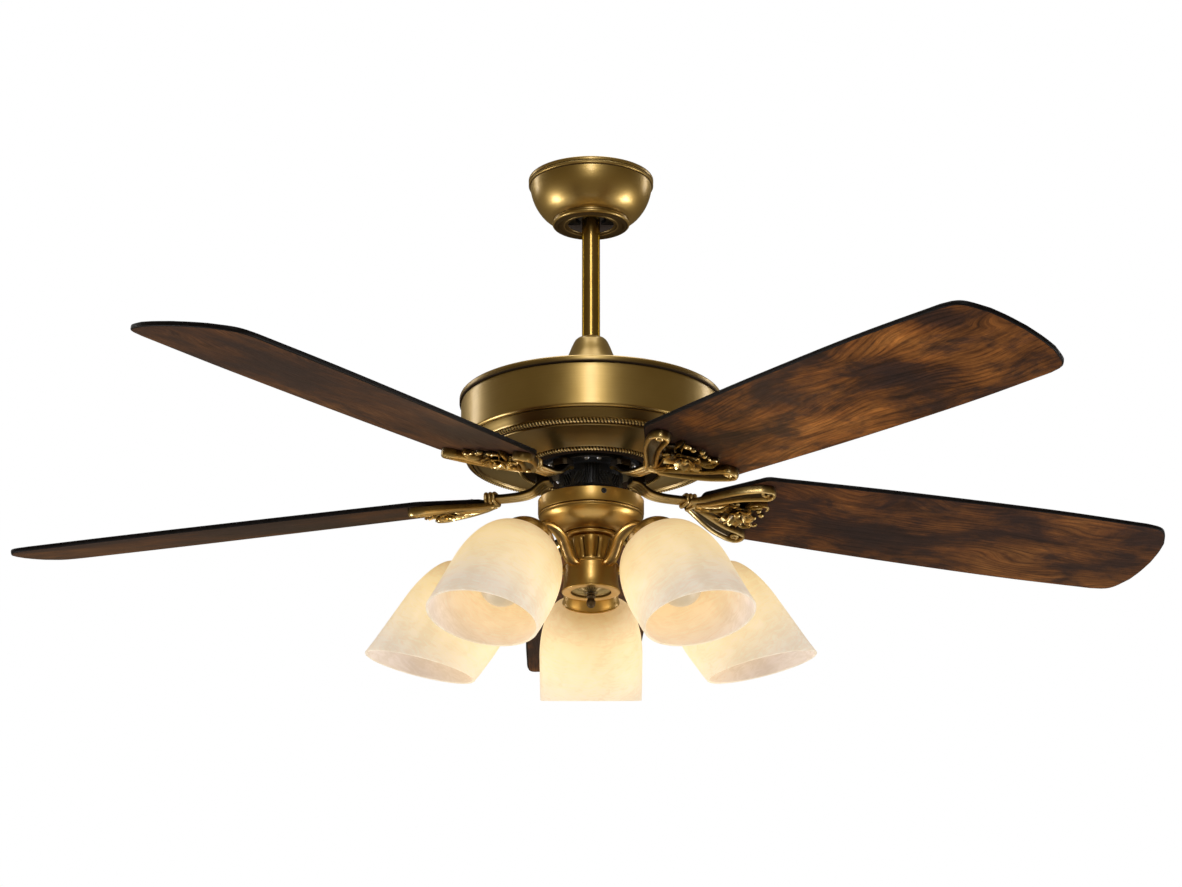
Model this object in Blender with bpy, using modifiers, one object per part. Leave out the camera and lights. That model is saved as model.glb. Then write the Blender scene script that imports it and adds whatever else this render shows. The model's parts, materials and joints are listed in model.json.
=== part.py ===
"""Ceiling fan with a five-light kit: a downrod hung from a ball, a motor in a drum housing, five pitched
blades on cast irons, and five glass shades, cut on a slant, on arched arms.

Metres, +Z up. The origin is on the ceiling, on the fan's axis; the fan hangs below it. Heights in the
profiles are measured up from the blade plane, which BLADE_Z places.
"""

import math

import bmesh
import bpy
from mathutils import Matrix, Vector

# Driving dimensions
BLADE_Z = -0.3545
GAP = 0.0003
WALL = 0.0012

SWEEP_RADIUS = 0.660
BLADE_COUNT = 5
BLADE_STEP = math.radians(72)
BLADE_FIRST = math.radians(19.3)
BLADE_PITCH = math.radians(12.8)
BLADE_DROOP = math.radians(1.45)
BLADE_OFFSET = -0.006
BLADE_THICKNESS = 0.005
BLADE_ROOT = 0.120
BLADE_SHOULDER = 0.168
BLADE_ROOT_HALF = 0.020
BLADE_SHOULDER_HALF = 0.063
BLADE_WIDEST = (0.505, 0.0739)
BLADE_TIP_HALF = 0.0685
BLADE_TIP_SIDE = 0.646

ROD_RADIUS = 0.0097
ROD_BORE = 0.0080
ROD_TOP = 0.3450
ROD_FOOT = 0.1345
BALL_RADIUS = 0.0225
BALL_HEIGHT = 0.3270
BALL_PIN_RADIUS = 0.0025
BRACKET_WIDTH = 0.032

SHAFT_RADIUS = 0.0080
SHAFT_BORE = 0.0050
COUPLING_RADIUS = 0.0155
COUPLING_PIN_RADIUS = 0.0020
COUPLING_PIN_HEIGHT = 0.1480

CUP_RADIUS = 0.0560
CUP_SCREW_HEIGHT = -0.0185
CUP_SCREW_FIRST = math.radians(283.4)
CUP_SCREW_RADIUS = 0.0015

LAMP_AZIMUTHS = (13, 90, 167, 234, 306)
NECK_CENTRE = (0.117, -0.093)
NECK_RADIUS = 0.0285
LAMP_TILT = math.radians(37)
RIM_TILT = math.radians(14.5)
SHADE_LENGTH = 0.113
SHADE_RADIUS = 0.056
SHADE_CURVE_LENGTH = 0.0605
GLASS = 0.0025

STEEL = ((0.55, 0.56, 0.57), 0.35, 1.0)
BLACK = ((0.025, 0.025, 0.027), 0.45, 0.3)
BRASS = ((0.42, 0.29, 0.12), 0.32, 1.0)
COPPER = ((0.55, 0.27, 0.14), 0.40, 1.0)
WALNUT = ((0.16, 0.07, 0.04), 0.45, 0.0)
ALABASTER = ((0.93, 0.82, 0.62), 0.45, 0.0)
BULB_GLASS = ((0.98, 0.94, 0.84), 0.30, 0.0)
CERAMIC = ((0.85, 0.84, 0.80), 0.45, 0.0)
PLASTIC = ((0.12, 0.12, 0.13), 0.55, 0.0)


def clear_scene():
    for obj in list(bpy.data.objects):
        bpy.data.objects.remove(obj, do_unlink=True)


def new_collection(name):
    collection = bpy.data.collections.new(name)
    bpy.context.scene.collection.children.link(collection)
    return collection


clear_scene()
FAN = new_collection("ceiling_fan_with_light")
CUTTERS = new_collection("cutters")


def material(name, look):
    colour, roughness, metallic = look
    made = bpy.data.materials.new(name)
    made.use_nodes = True
    shader = made.node_tree.nodes["Principled BSDF"]
    shader.inputs["Base Color"].default_value = (*colour, 1.0)
    shader.inputs["Roughness"].default_value = roughness
    shader.inputs["Metallic"].default_value = metallic
    return made


def add_object(name, mesh, look, place=None):
    """Links a mesh as a named part with its own material, at a world matrix."""
    obj = bpy.data.objects.new(name, mesh)
    FAN.objects.link(obj)
    mesh.materials.clear()
    mesh.materials.append(material(name, look))
    if place is not None:
        obj.matrix_world = place
    return obj


def at_height(height):
    return Matrix.Translation((0, 0, BLADE_Z + height))


def smooth(mesh):
    mesh.shade_smooth()
    mesh.set_sharp_from_angle(angle=math.radians(35))


def turned(name, profile, look, steps=24, wall=None, closed=False, place=None):
    """A turned part: the profile (radius, height) runs down its outer side; wall makes a shell of it."""
    mesh = bpy.data.meshes.new(name)
    edges = [(i, i + 1) for i in range(len(profile) - 1)]
    if closed:
        edges.append((len(profile) - 1, 0))
    mesh.from_pydata([(radius, 0, height) for radius, height in profile], edges, [])
    obj = add_object(name, mesh, look, at_height(0) if place is None else place)
    screw = obj.modifiers.new("turn", "SCREW")
    screw.steps = steps
    screw.render_steps = steps
    screw.use_merge_vertices = True
    screw.merge_threshold = 0.00001
    screw.use_smooth_shade = True
    if wall:
        shell = obj.modifiers.new("shell", "SOLIDIFY")
        shell.thickness = wall
        shell.offset = -1
        shell.use_even_offset = True
    return obj


def ring(name, inner, outer, top, bottom, look, steps=24, place=None):
    profile = [(inner, top), (outer, top), (outer, bottom), (inner, bottom)]
    return turned(name, profile, look, steps, closed=True, place=place)


def cylinder_mesh(name, radius, depth, segments=12):
    mesh = bpy.data.meshes.new(name)
    form = bmesh.new()
    bmesh.ops.create_cone(
        form, cap_ends=True, segments=segments, radius1=radius, radius2=radius, depth=depth
    )
    form.to_mesh(mesh)
    form.free()
    return mesh


def box_mesh(name, size):
    mesh = bpy.data.meshes.new(name)
    form = bmesh.new()
    bmesh.ops.create_cube(form, size=1, matrix=Matrix.Diagonal((*size, 1)))
    form.to_mesh(mesh)
    form.free()
    return mesh


def cutter(mesh, place):
    obj = bpy.data.objects.new("cut_" + mesh.name, mesh)
    CUTTERS.objects.link(obj)
    obj.matrix_world = place
    obj.hide_render = True
    obj.display_type = "WIRE"
    return obj


def combine(obj, other, operation):
    boolean = obj.modifiers.new(operation.lower(), "BOOLEAN")
    boolean.operation = operation
    boolean.object = other
    boolean.solver = "EXACT"


def mesh_from_curve(name, curve):
    """The evaluated mesh of a curve, with its caps welded, and the curve removed."""
    obj = bpy.data.objects.new(name, curve)
    FAN.objects.link(obj)
    graph = bpy.context.evaluated_depsgraph_get()
    mesh = bpy.data.meshes.new_from_object(obj.evaluated_get(graph))
    bpy.data.objects.remove(obj, do_unlink=True)
    form = bmesh.new()
    form.from_mesh(mesh)
    bmesh.ops.remove_doubles(form, verts=form.verts, dist=0.00001)
    bmesh.ops.recalc_face_normals(form, faces=form.faces)
    form.to_mesh(mesh)
    form.free()
    mesh.name = name
    return mesh


def outline_mesh(name, loops, half_thickness):
    """A flat outline, with any inner loops as holes, thickened to both sides of its plane."""
    curve = bpy.data.curves.new(name, "CURVE")
    curve.dimensions = "2D"
    curve.fill_mode = "BOTH"
    curve.extrude = half_thickness
    for points in loops:
        spline = curve.splines.new("POLY")
        spline.points.add(len(points) - 1)
        for point, (x, y) in zip(spline.points, points):
            point.co = (x, y, 0, 1)
        spline.use_cyclic_u = True
    return mesh_from_curve(name, curve)


def tube_mesh(name, path, radius, per_span=3, resolution=1):
    """A round bar along a smooth curve through the path's points."""
    curve = bpy.data.curves.new(name, "CURVE")
    curve.dimensions = "3D"
    curve.bevel_depth = radius
    curve.bevel_resolution = resolution
    curve.use_fill_caps = True
    points = smooth_path(path, per_span)
    spline = curve.splines.new("POLY")
    spline.points.add(len(points) - 1)
    for point, place in zip(spline.points, points):
        point.co = (*place, 1)
    return mesh_from_curve(name, curve)


def smooth_path(points, per_span):
    """Catmull-Rom points through the given ones."""
    knots = [Vector(point) for point in points]
    knots = [2 * knots[0] - knots[1], *knots, 2 * knots[-1] - knots[-2]]
    found = []
    for before, start, end, after in zip(knots, knots[1:], knots[2:], knots[3:]):
        for step in range(per_span):
            t = step / per_span
            found.append(
                0.5
                * (
                    2 * start
                    + (end - before) * t
                    + (2 * before - 5 * start + 4 * end - after) * t**2
                    + (3 * start - before - 3 * end + after) * t**3
                )
            )
    found.append(knots[-2])
    return found


def arc(centre, radii, start, end, count):
    """Points on an elliptical arc, with angles in degrees."""
    angles = [math.radians(start + (end - start) * i / (count - 1)) for i in range(count)]
    return [
        (centre[0] + radii[0] * math.cos(a), centre[1] + radii[1] * math.sin(a)) for a in angles
    ]


def lying_along_x(height):
    return at_height(height) @ Matrix.Rotation(math.pi / 2, 4, "Y")


def lying_along_y(height):
    return at_height(height) @ Matrix.Rotation(math.pi / 2, 4, "X")


# Hanging gear


def make_bracket():
    plate_half, leg, thickness, depth = 0.055, 0.0325, 0.0025, 0.0465
    floor = 0.0040
    seat_radius, slot_width = 0.0172, 0.022
    fillet = thickness + 0.0006
    outline = [(-plate_half, 0), (plate_half, 0), (plate_half, -thickness), (leg, -fillet)]
    outline += [(leg, -depth), (-leg, -depth), (-leg, -fillet), (-plate_half, -thickness)]
    inner = leg - thickness
    ceiling = -thickness - 0.0010
    window = [(-inner, ceiling), (inner, ceiling), (inner, floor - depth), (-inner, floor - depth)]
    mesh = outline_mesh("hanger_bracket", [outline, window], BRACKET_WIDTH / 2)
    upright = Matrix.Rotation(math.pi / 2, 4, "X")
    bracket = add_object("hanger_bracket", mesh, STEEL, upright)
    seat = cutter(
        cylinder_mesh("ball_seat", seat_radius, 0.012, 24), Matrix.Translation((0, 0, -depth + floor / 2))
    )
    slot = cutter(
        box_mesh("rod_slot", (slot_width, 0.04, 0.012)), Matrix.Translation((0, 0.02, -depth + floor / 2))
    )
    combine(bracket, seat, "DIFFERENCE")
    combine(bracket, slot, "DIFFERENCE")
    for side in (-1, 1):
        hole = cutter(cylinder_mesh("ceiling_hole", 0.0026, 0.02), Matrix.Translation((side * 0.0445, 0, 0)))
        combine(bracket, hole, "DIFFERENCE")
        screw_at = Matrix.Translation((side * 0.0250, 0, -depth - GAP - 0.00125))
        name = "hanger_screw_" + ("left" if side < 0 else "right")
        add_object(name, cylinder_mesh(name, 0.0036, 0.0025, 6), STEEL, screw_at)


def make_ball_and_rod():
    bore = ROD_RADIUS + GAP
    flat = 0.0190
    rim = math.degrees(math.asin(flat / BALL_RADIUS))
    outside = arc((0, 0), (BALL_RADIUS, BALL_RADIUS), rim, -rim, 7)
    profile = [(bore, flat), *outside, (bore, -flat)]
    ball = turned("hanger_ball", profile, BLACK, 20, closed=True, place=at_height(BALL_HEIGHT))
    rod = ring("downrod", ROD_BORE, ROD_RADIUS, ROD_TOP, ROD_FOOT, BRASS, 20)
    pin_height = BALL_HEIGHT + 0.004
    pin = cylinder_mesh("ball_pin", BALL_PIN_RADIUS, 0.034)
    add_object("ball_pin", pin, STEEL, lying_along_x(pin_height))
    hole = cutter(cylinder_mesh("ball_pin_hole", BALL_PIN_RADIUS + GAP, 0.060), lying_along_x(pin_height))
    combine(ball, hole, "DIFFERENCE")
    combine(rod, hole, "DIFFERENCE")
    return rod


def make_canopy():
    band = [(0.0680, 0.3539), (0.0680, 0.3468)]
    bowl = arc((0.0400, 0.3450), (0.0264, 0.0387), 0, -90, 6)
    lip = [(0.0404, 0.3030), (0.0388, 0.2998), (0.0365, 0.2993), (0.0325, 0.3012)]
    turned("canopy", band + bowl + lip, BRASS, 28, wall=0.0010)


def make_coupling(rod):
    socket, bore = ROD_RADIUS + GAP, SHAFT_RADIUS + GAP
    top, shoulder, foot = 0.1600, ROD_FOOT - GAP, 0.1180
    profile = [(socket, top), (COUPLING_RADIUS, top), (COUPLING_RADIUS, foot)]
    profile += [(bore, foot), (bore, shoulder), (socket, shoulder)]
    coupling = turned("coupling", profile, STEEL, 20, closed=True)
    pin = cylinder_mesh("coupling_pin", COUPLING_PIN_RADIUS, 2 * COUPLING_RADIUS - 0.001)
    add_object("coupling_pin", pin, STEEL, lying_along_y(COUPLING_PIN_HEIGHT))
    hole = cutter(
        cylinder_mesh("coupling_pin_hole", COUPLING_PIN_RADIUS + GAP, 0.05), lying_along_y(COUPLING_PIN_HEIGHT)
    )
    combine(coupling, hole, "DIFFERENCE")
    combine(rod, hole, "DIFFERENCE")


def make_coupling_cover():
    crown = [(0.0106, 0.1716), (0.0150, 0.1711), (0.0172, 0.1692)]
    bell = [(0.0215, 0.1600), (0.0256, 0.1500), (0.0320, 0.1370), (0.0390, 0.1250), (0.0425, 0.1178)]
    turned("coupling_cover", crown + bell, BRASS, 20, wall=WALL)


# Motor and its housing


def make_motor():
    ring("motor_shaft", SHAFT_BORE, SHAFT_RADIUS, 0.1300, -0.0300, STEEL, 16)
    bore = SHAFT_RADIUS + GAP
    core = [(bore, 0.0720), (0.0400, 0.0720), (0.0430, 0.0820), (0.0780, 0.0820), (0.0885, 0.0760)]
    core += [(0.0885, 0.0540), (0.0780, 0.0490), (0.0430, 0.0490), (0.0400, 0.0600), (bore, 0.0600)]
    turned("stator", core, COPPER, 24, closed=True)
    ring("upper_bearing", bore, 0.0127, 0.0910, 0.0840, STEEL, 16)
    ring("lower_bearing", bore, 0.0127, 0.0460, 0.0390, STEEL, 16)
    case = [(0.0130, 0.0935), (0.0300, 0.0935), (0.0400, 0.0895), (0.0950, 0.0880)]
    case += [(0.0950, 0.0420), (0.0400, 0.0405), (0.0300, 0.0365), (0.0130, 0.0365)]
    turned("rotor_case", case, STEEL, 24, wall=0.0025)
    wheel = [(0.0135, 0.0360), (0.0500, 0.0360), (0.0520, 0.0340), (0.0520, 0.0195), (0.0340, 0.0195)]
    wheel += [(0.0340, -0.0030), (0.0312, -0.0065), (0.0135, -0.0065)]
    turned("flywheel", wheel, BLACK, 28, closed=True)


def make_housing():
    top = [(0.0090, 0.1170), (0.0460, 0.1170), (0.1050, 0.1075), (0.1370, 0.1013), (0.1402, 0.0990)]
    top += [(0.1402, 0.0930)]
    turned("housing_top", top, BRASS, 32, wall=WALL)
    drum = [(0.1384, 0.0960), (0.1384, 0.0500), (0.1377, 0.0474), (0.1350, 0.0462)]
    turned("housing_drum", drum, BRASS, 32, wall=WALL)
    base = [(0.1350, 0.0446), (0.1322, 0.0420), (0.1318, 0.0368), (0.1330, 0.0330), (0.1240, 0.0296)]
    base += [(0.0960, 0.0288), (0.0800, 0.0235), (0.0745, 0.0206), (0.0710, 0.0214), (0.0575, 0.0216)]
    turned("housing_base", base, BRASS, 32, wall=WALL)


# Blades


def blade_place(azimuth):
    return (
        at_height(0)
        @ Matrix.Rotation(azimuth, 4, "Z")
        @ Matrix.Rotation(BLADE_DROOP, 4, "Y")
        @ Matrix.Rotation(-BLADE_PITCH, 4, "X")
    )


def blade_outline():
    """One blade seen flat: narrow root, chamfers to the shoulders, widest near the tip, round corners."""
    corner = 0.014
    tip_angle = math.degrees(math.asin((BLADE_TIP_HALF - corner) / SWEEP_RADIUS))
    side = [
        (BLADE_ROOT, BLADE_ROOT_HALF - 0.008),
        (BLADE_ROOT + 0.006, BLADE_ROOT_HALF),
        (BLADE_SHOULDER - 0.004, BLADE_SHOULDER_HALF - 0.006),
        (BLADE_SHOULDER + 0.008, BLADE_SHOULDER_HALF),
        (0.340, 0.0700),
        BLADE_WIDEST,
        (BLADE_TIP_SIDE - corner, BLADE_TIP_HALF + 0.0008),
        *arc((BLADE_TIP_SIDE - corner, BLADE_TIP_HALF - corner), (corner, corner), 72, 20, 4),
    ]
    tip = arc((0, 0), (SWEEP_RADIUS, SWEEP_RADIUS), tip_angle * 0.8, 0, 3)
    upper = side + tip
    lower = [(x, -y) for x, y in reversed(upper[:-1])]
    return upper + lower


def iron_side_view():
    """The iron's neck from the side: foot under the flywheel, a step down, level to the collar."""
    spine = [(0.0440, 0.0138), (0.0520, 0.0136), (0.0580, 0.0074), (0.0640, 0.0026), (0.0720, 0.0000)]
    spine += [(0.0850, -0.0014), (0.1140, -0.0015)]
    half = [0.0054, 0.0054, 0.0040, 0.0034, 0.0034, 0.0034, 0.0034]
    upper = [(x, z + t) for (x, z), t in zip(spine, half)]
    lower = [(x, z - t) for (x, z), t in zip(spine, half)]
    return upper + lower[::-1]


def iron_plate_outline():
    """Two scrolls and a flower between them, seen flat."""
    edge = [(0.1080, 0.0085), (0.1230, 0.0150), (0.1420, 0.0330), (0.1620, 0.0470), (0.1840, 0.0570)]
    edge += [(0.1960, 0.0570), (0.2010, 0.0500), (0.1960, 0.0420), (0.1790, 0.0350), (0.1660, 0.0230)]
    edge += [(0.1740, 0.0150), (0.1830, 0.0070)]
    return edge + [(x, -y) for x, y in reversed(edge)]


def make_blades():
    blade_mesh = outline_mesh("blade", [blade_outline()], BLADE_THICKNESS / 2)
    plate_half = 0.0024
    plate_drop = BLADE_THICKNESS / 2 + GAP + plate_half
    plate_mesh = outline_mesh("iron_plate", [iron_plate_outline()], plate_half)
    neck_mesh = outline_mesh("iron_neck", [iron_side_view()], 0.0090)
    collar_mesh = box_mesh("iron_collar", (0.0100, 0.0200, 0.0130))
    shift = Matrix.Translation((0, BLADE_OFFSET, 0))
    for number in range(BLADE_COUNT):
        azimuth = BLADE_FIRST + number * BLADE_STEP
        label = str(number + 1)
        place = blade_place(azimuth)
        level = at_height(0) @ Matrix.Rotation(azimuth, 4, "Z")
        add_object("blade_" + label, blade_mesh.copy(), WALNUT, place @ shift)
        upright = Matrix.Rotation(math.pi / 2, 4, "X")
        iron = add_object("blade_iron_" + label, neck_mesh.copy(), BRASS, level @ upright)
        below = Matrix.Translation((0, BLADE_OFFSET / 2, -plate_drop))
        combine(iron, cutter(plate_mesh.copy(), place @ below), "UNION")
        collar_place = level @ Matrix.Translation((0.1100, 0, -0.0040))
        combine(iron, cutter(collar_mesh.copy(), collar_place), "UNION")


# Light kit


def around(azimuth, radius, height):
    """A matrix at a point round the axis, with its X pointing outwards."""
    return at_height(height) @ Matrix.Rotation(azimuth, 4, "Z") @ Matrix.Translation((radius, 0, 0))


def make_switch_housing():
    plate = ring("switch_plate", SHAFT_RADIUS + GAP, 0.0538, -0.0160, -0.0205, STEEL, 28)
    band = [(CUP_RADIUS, -0.0134), (CUP_RADIUS, -0.0285), (0.0550, -0.0296), (0.0548, -0.0325)]
    bowl = [(0.0505, -0.0385), (0.0440, -0.0435), (0.0360, -0.0475), (0.0285, -0.0495), (0.0090, -0.0495)]
    cup = turned("switch_housing", band + bowl, BRASS, 28, wall=WALL)
    for number in range(3):
        azimuth = CUP_SCREW_FIRST + number * math.radians(120)
        outwards = Matrix.Rotation(math.pi / 2, 4, "Y")
        hole = cutter(
            cylinder_mesh("cup_screw_hole", CUP_SCREW_RADIUS + GAP, 0.016, 10),
            around(azimuth, 0.0540, CUP_SCREW_HEIGHT) @ outwards,
        )
        combine(cup, hole, "DIFFERENCE")
        combine(plate, hole, "DIFFERENCE")
        head, shank = 0.0030, 0.0500 - CUP_RADIUS - GAP
        profile = [(0, 0.0014), (0.0022, 0.0012), (head, 0), (CUP_SCREW_RADIUS, 0)]
        profile += [(CUP_SCREW_RADIUS, shank), (0, shank)]
        turned(
            "cup_screw_" + str(number + 1),
            profile,
            STEEL,
            10,
            place=around(azimuth, CUP_RADIUS + GAP, CUP_SCREW_HEIGHT) @ outwards,
        )
    capacitor = box_mesh("capacitor", (0.0240, 0.0340, 0.0160))
    add_object("capacitor", capacitor, PLASTIC, around(0, 0.0270, -0.0290))


def make_kit_centre():
    collar = [(0.0090, -0.0498), (0.0262, -0.0498), (0.0282, -0.0510), (0.0282, -0.0534)]
    collar += [(0.0262, -0.0547), (0.0090, -0.0547)]
    turned("kit_collar", collar, BRASS, 28, closed=True)
    stem = [(0.0090, -0.0550), (0.0225, -0.0550), (0.0210, -0.0630), (0.0172, -0.0750)]
    stem += [(0.0160, -0.0820), (0.0190, -0.0868), (0.0090, -0.0868)]
    turned("fluted_stem", stem, BRASS, 24, closed=True)
    hub = [(0.0090, -0.0871), (0.0285, -0.0871), (0.0293, -0.0885), (0.0280, -0.0980), (0.0290, -0.1060)]
    hub += [(0.0309, -0.1125), (0.0303, -0.1137), (0.0216, -0.1137), (0.0216, -0.1080), (0.0090, -0.1080)]
    turned("arm_hub", hub, BRASS, 28, closed=True)
    rosette = [(0, -0.1083), (0.0205, -0.1083), (0.0210, -0.1105), (0.0150, -0.1128), (0, -0.1140)]
    turned("rosette", rosette, BRASS, 24)
    finial = [(0, -0.1143), (0.0042, -0.1143), (0.0050, -0.1175), (0.0036, -0.1205)]
    finial += [(0.0048, -0.1245), (0.0036, -0.1290), (0, -0.1305)]
    turned("finial", finial, BRASS, 12)


def lamp_place(azimuth):
    """The lamp's frame: at the shade's neck, with -Z down the lamp's axis and X outwards and up."""
    radius, height = NECK_CENTRE
    return around(azimuth, radius, height) @ Matrix.Rotation(-LAMP_TILT, 4, "Y")


def shade_mesh(name):
    """The glass as an open surface of revolution, cut by the rim's slanting plane."""
    steps, rings = 18, 6
    form = bmesh.new()
    profile = [(NECK_RADIUS, 0.0080), (NECK_RADIUS, 0.0)]
    for i in range(1, rings):
        share = (i / (rings - 1)) ** 2
        along = SHADE_CURVE_LENGTH * share
        swell = math.sin(math.pi / 2 * share) ** 0.34
        profile.append((NECK_RADIUS + (SHADE_RADIUS - NECK_RADIUS) * swell, -along))
    profile.append((SHADE_RADIUS - 0.0005, -SHADE_LENGTH - SHADE_RADIUS))
    verts = [form.verts.new((radius, 0, height)) for radius, height in profile]
    edges = [form.edges.new(pair) for pair in zip(verts, verts[1:])]
    bmesh.ops.spin(
        form, geom=verts + edges, axis=(0, 0, 1), cent=(0, 0, 0), angle=2 * math.pi, steps=steps
    )
    bmesh.ops.remove_doubles(form, verts=form.verts, dist=0.00001)
    slant = LAMP_TILT - RIM_TILT
    bmesh.ops.bisect_plane(
        form,
        geom=form.verts[:] + form.edges[:] + form.faces[:],
        plane_co=(0, 0, -SHADE_LENGTH),
        plane_no=(-math.sin(slant), 0, -math.cos(slant)),
        clear_outer=True,
    )
    outwards = [face for face in form.faces if face.normal.dot((*face.calc_center_median().xy, 0)) < 0]
    bmesh.ops.reverse_faces(form, faces=outwards)
    mesh = bpy.data.meshes.new(name)
    form.to_mesh(mesh)
    form.free()
    smooth(mesh)
    return mesh


def make_lamp(number, azimuth):
    label = str(number)
    place = lamp_place(azimuth)
    upright = at_height(0) @ Matrix.Rotation(azimuth, 4, "Z")
    cup = [(0.0100, 0.0275), (0.0225, 0.0243), (0.0298, 0.0150), (0.0312, 0.0006)]
    arm = turned("lamp_arm_" + label, cup, BRASS, 16, wall=0.0010, place=place)
    path = [(0.0298, 0, -0.0915), (0.0400, 0, -0.0900), (0.0470, 0, -0.0815), (0.0530, 0, -0.0700)]
    path += [(0.0640, 0, -0.0610), (0.0780, 0, -0.0580), (0.0910, 0, -0.0610), (0.1004, 0, -0.0708)]
    bar = cutter(tube_mesh("arm_bar", path, 0.0045, 1), upright)
    plug = cutter(cylinder_mesh("cup_plug", 0.0135, 0.0040, 16), place @ Matrix.Translation((0, 0, 0.0262)))
    combine(arm, plug, "UNION")
    combine(arm, bar, "UNION")
    socket = [(0, 0.0236), (0.0135, 0.0236), (0.0150, 0.0180), (0.0150, -0.0100), (0.0118, -0.0100)]
    socket += [(0.0118, 0.0150), (0, 0.0150)]
    turned("lamp_socket_" + label, socket, CERAMIC, 12, place=place)
    globe = arc((0, -0.0600), (0.0225, 0.0225), 50, -90, 5)[:-1]
    bulb = [(0, 0.0146), (0.0105, 0.0146), (0.0112, -0.0110), (0.0128, -0.0330), *globe, (0, -0.0825)]
    turned("bulb_" + label, bulb, BULB_GLASS, 12, place=place)
    shade = add_object("shade_" + label, shade_mesh("shade_" + label), ALABASTER, place)
    shell = shade.modifiers.new("glass", "SOLIDIFY")
    shell.thickness = GLASS
    shell.offset = -1
    shell.use_even_offset = True


def main():
    make_bracket()
    rod = make_ball_and_rod()
    make_canopy()
    make_coupling(rod)
    make_coupling_cover()
    make_motor()
    make_housing()
    make_blades()
    make_switch_housing()
    make_kit_centre()
    for number, azimuth in enumerate(LAMP_AZIMUTHS, 1):
        make_lamp(number, math.radians(azimuth))


main()
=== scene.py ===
"""Looks of the ceiling fan with light: antique brass turnings, cast blade irons, rustic walnut blades and
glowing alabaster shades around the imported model.

Metres, +Z up. Profiles are (radius, height) pairs with heights measured up from the blade plane, and each
lamp's pieces are made in the lamp's own frame, with -Z down the lamp's axis and X outwards.
"""

import json
import math

import bmesh
import bpy
import numpy as np
from mathutils import Matrix, Vector


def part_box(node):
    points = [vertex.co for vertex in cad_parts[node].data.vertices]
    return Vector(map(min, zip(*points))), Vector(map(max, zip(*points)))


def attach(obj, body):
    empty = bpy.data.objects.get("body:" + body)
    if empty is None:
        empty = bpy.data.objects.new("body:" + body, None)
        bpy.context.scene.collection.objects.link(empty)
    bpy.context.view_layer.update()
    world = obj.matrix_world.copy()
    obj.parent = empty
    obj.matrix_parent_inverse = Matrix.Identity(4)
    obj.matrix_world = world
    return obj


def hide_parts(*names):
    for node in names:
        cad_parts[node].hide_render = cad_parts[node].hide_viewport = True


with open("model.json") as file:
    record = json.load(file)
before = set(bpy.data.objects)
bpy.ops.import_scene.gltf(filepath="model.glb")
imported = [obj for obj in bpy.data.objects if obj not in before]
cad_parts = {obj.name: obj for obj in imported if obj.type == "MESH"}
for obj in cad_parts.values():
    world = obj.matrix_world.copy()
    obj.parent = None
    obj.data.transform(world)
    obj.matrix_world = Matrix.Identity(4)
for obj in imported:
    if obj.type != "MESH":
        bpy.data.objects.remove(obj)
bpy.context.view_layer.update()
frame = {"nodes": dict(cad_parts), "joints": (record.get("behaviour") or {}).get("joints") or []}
JOINTS = {joint["name"]: joint for joint in frame["joints"]}
NODES = frame["nodes"]

BLADE_Z = JOINTS["rotor_spin"]["pos_m"][2]
BALL_Z = JOINTS["hanger_tilt"]["pos_m"][2]

SWEEP_RADIUS = 0.660
BLADE_COUNT = 5
BLADE_FIRST = math.radians(19.3)
BLADE_STEP = math.radians(72)
BLADE_PITCH = math.radians(12.8)
BLADE_DROOP = math.radians(1.45)
BLADE_OFFSET = -0.006
BLADE_THICKNESS = 0.005

LAMP_AZIMUTHS = (13, 90, 167, 234, 306)
LAMP_NECK = (0.117, -0.093)
LAMP_TILT = math.radians(37)
RIM_SLANT = math.radians(22.5)
SHADE_LENGTH = 0.113
SHADE_NECK = 0.0285
SHADE_RADIUS = 0.056
SHADE_CURVE = 0.0605
GLASS = 0.0025

SHADE_FULLNESS = 0.34

FLYWHEEL_BLOCK = 0.0337
STRAND = 0.0028
STRAND_GAP = 0.0063

CAMERA_BACK = 3.366
CAMERA_BELOW = 1.080
CAMERA_RISE = math.radians(18.575)
LENS_MM = 101.8
FLOOR_Z = -9.0

WHOLE_TURN = 2 * math.pi
MERGE_DISTANCE = 0.000002


# Forms: (points, faces, wear), where wear is 0 in a dark hollow and 1 on a rubbed edge; its dark end is
# antique patina together with painted shade in hollows, grooves and insides


def grid(points, wrap_rows=False, wrap_cols=False, cap=False, wear_and_shade=None):
    """Quads over an array of points, rows x columns x 3, with end loops capped on request."""
    points = np.asarray(points, float)
    rows, cols = points.shape[:2]
    index = np.arange(rows * cols).reshape(rows, cols)
    below = np.roll(index, -1, 0) if wrap_rows else index[1:]
    above = index if wrap_rows else index[:-1]
    if wrap_cols:
        quads = [above, np.roll(above, -1, 1), np.roll(below, -1, 1), below]
    else:
        quads = [above[:, :-1], above[:, 1:], below[:, 1:], below[:, :-1]]
    faces = np.stack([q.ravel() for q in quads], 1).tolist()
    if cap:
        faces += [index[0][::-1].tolist(), index[-1].tolist()]
    wear_and_shade = np.ones((rows, cols)) if wear_and_shade is None else np.broadcast_to(wear_and_shade, (rows, cols))
    return points.reshape(-1, 3), faces, wear_and_shade.ravel()


def joined(*forms):
    points, faces, wear_and_shade, start = [], [], [], 0
    for form_points, form_faces, form_wear in forms:
        points.append(form_points)
        faces += [[i + start for i in face] for face in form_faces]
        wear_and_shade.append(form_wear)
        start += len(form_points)
    return np.concatenate(points), faces, np.concatenate(wear_and_shade)


def moved(form, matrix):
    points, faces, wear_and_shade = form
    matrix = np.array(matrix)
    return points @ matrix[:3, :3].T + matrix[:3, 3], faces, wear_and_shade


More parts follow.
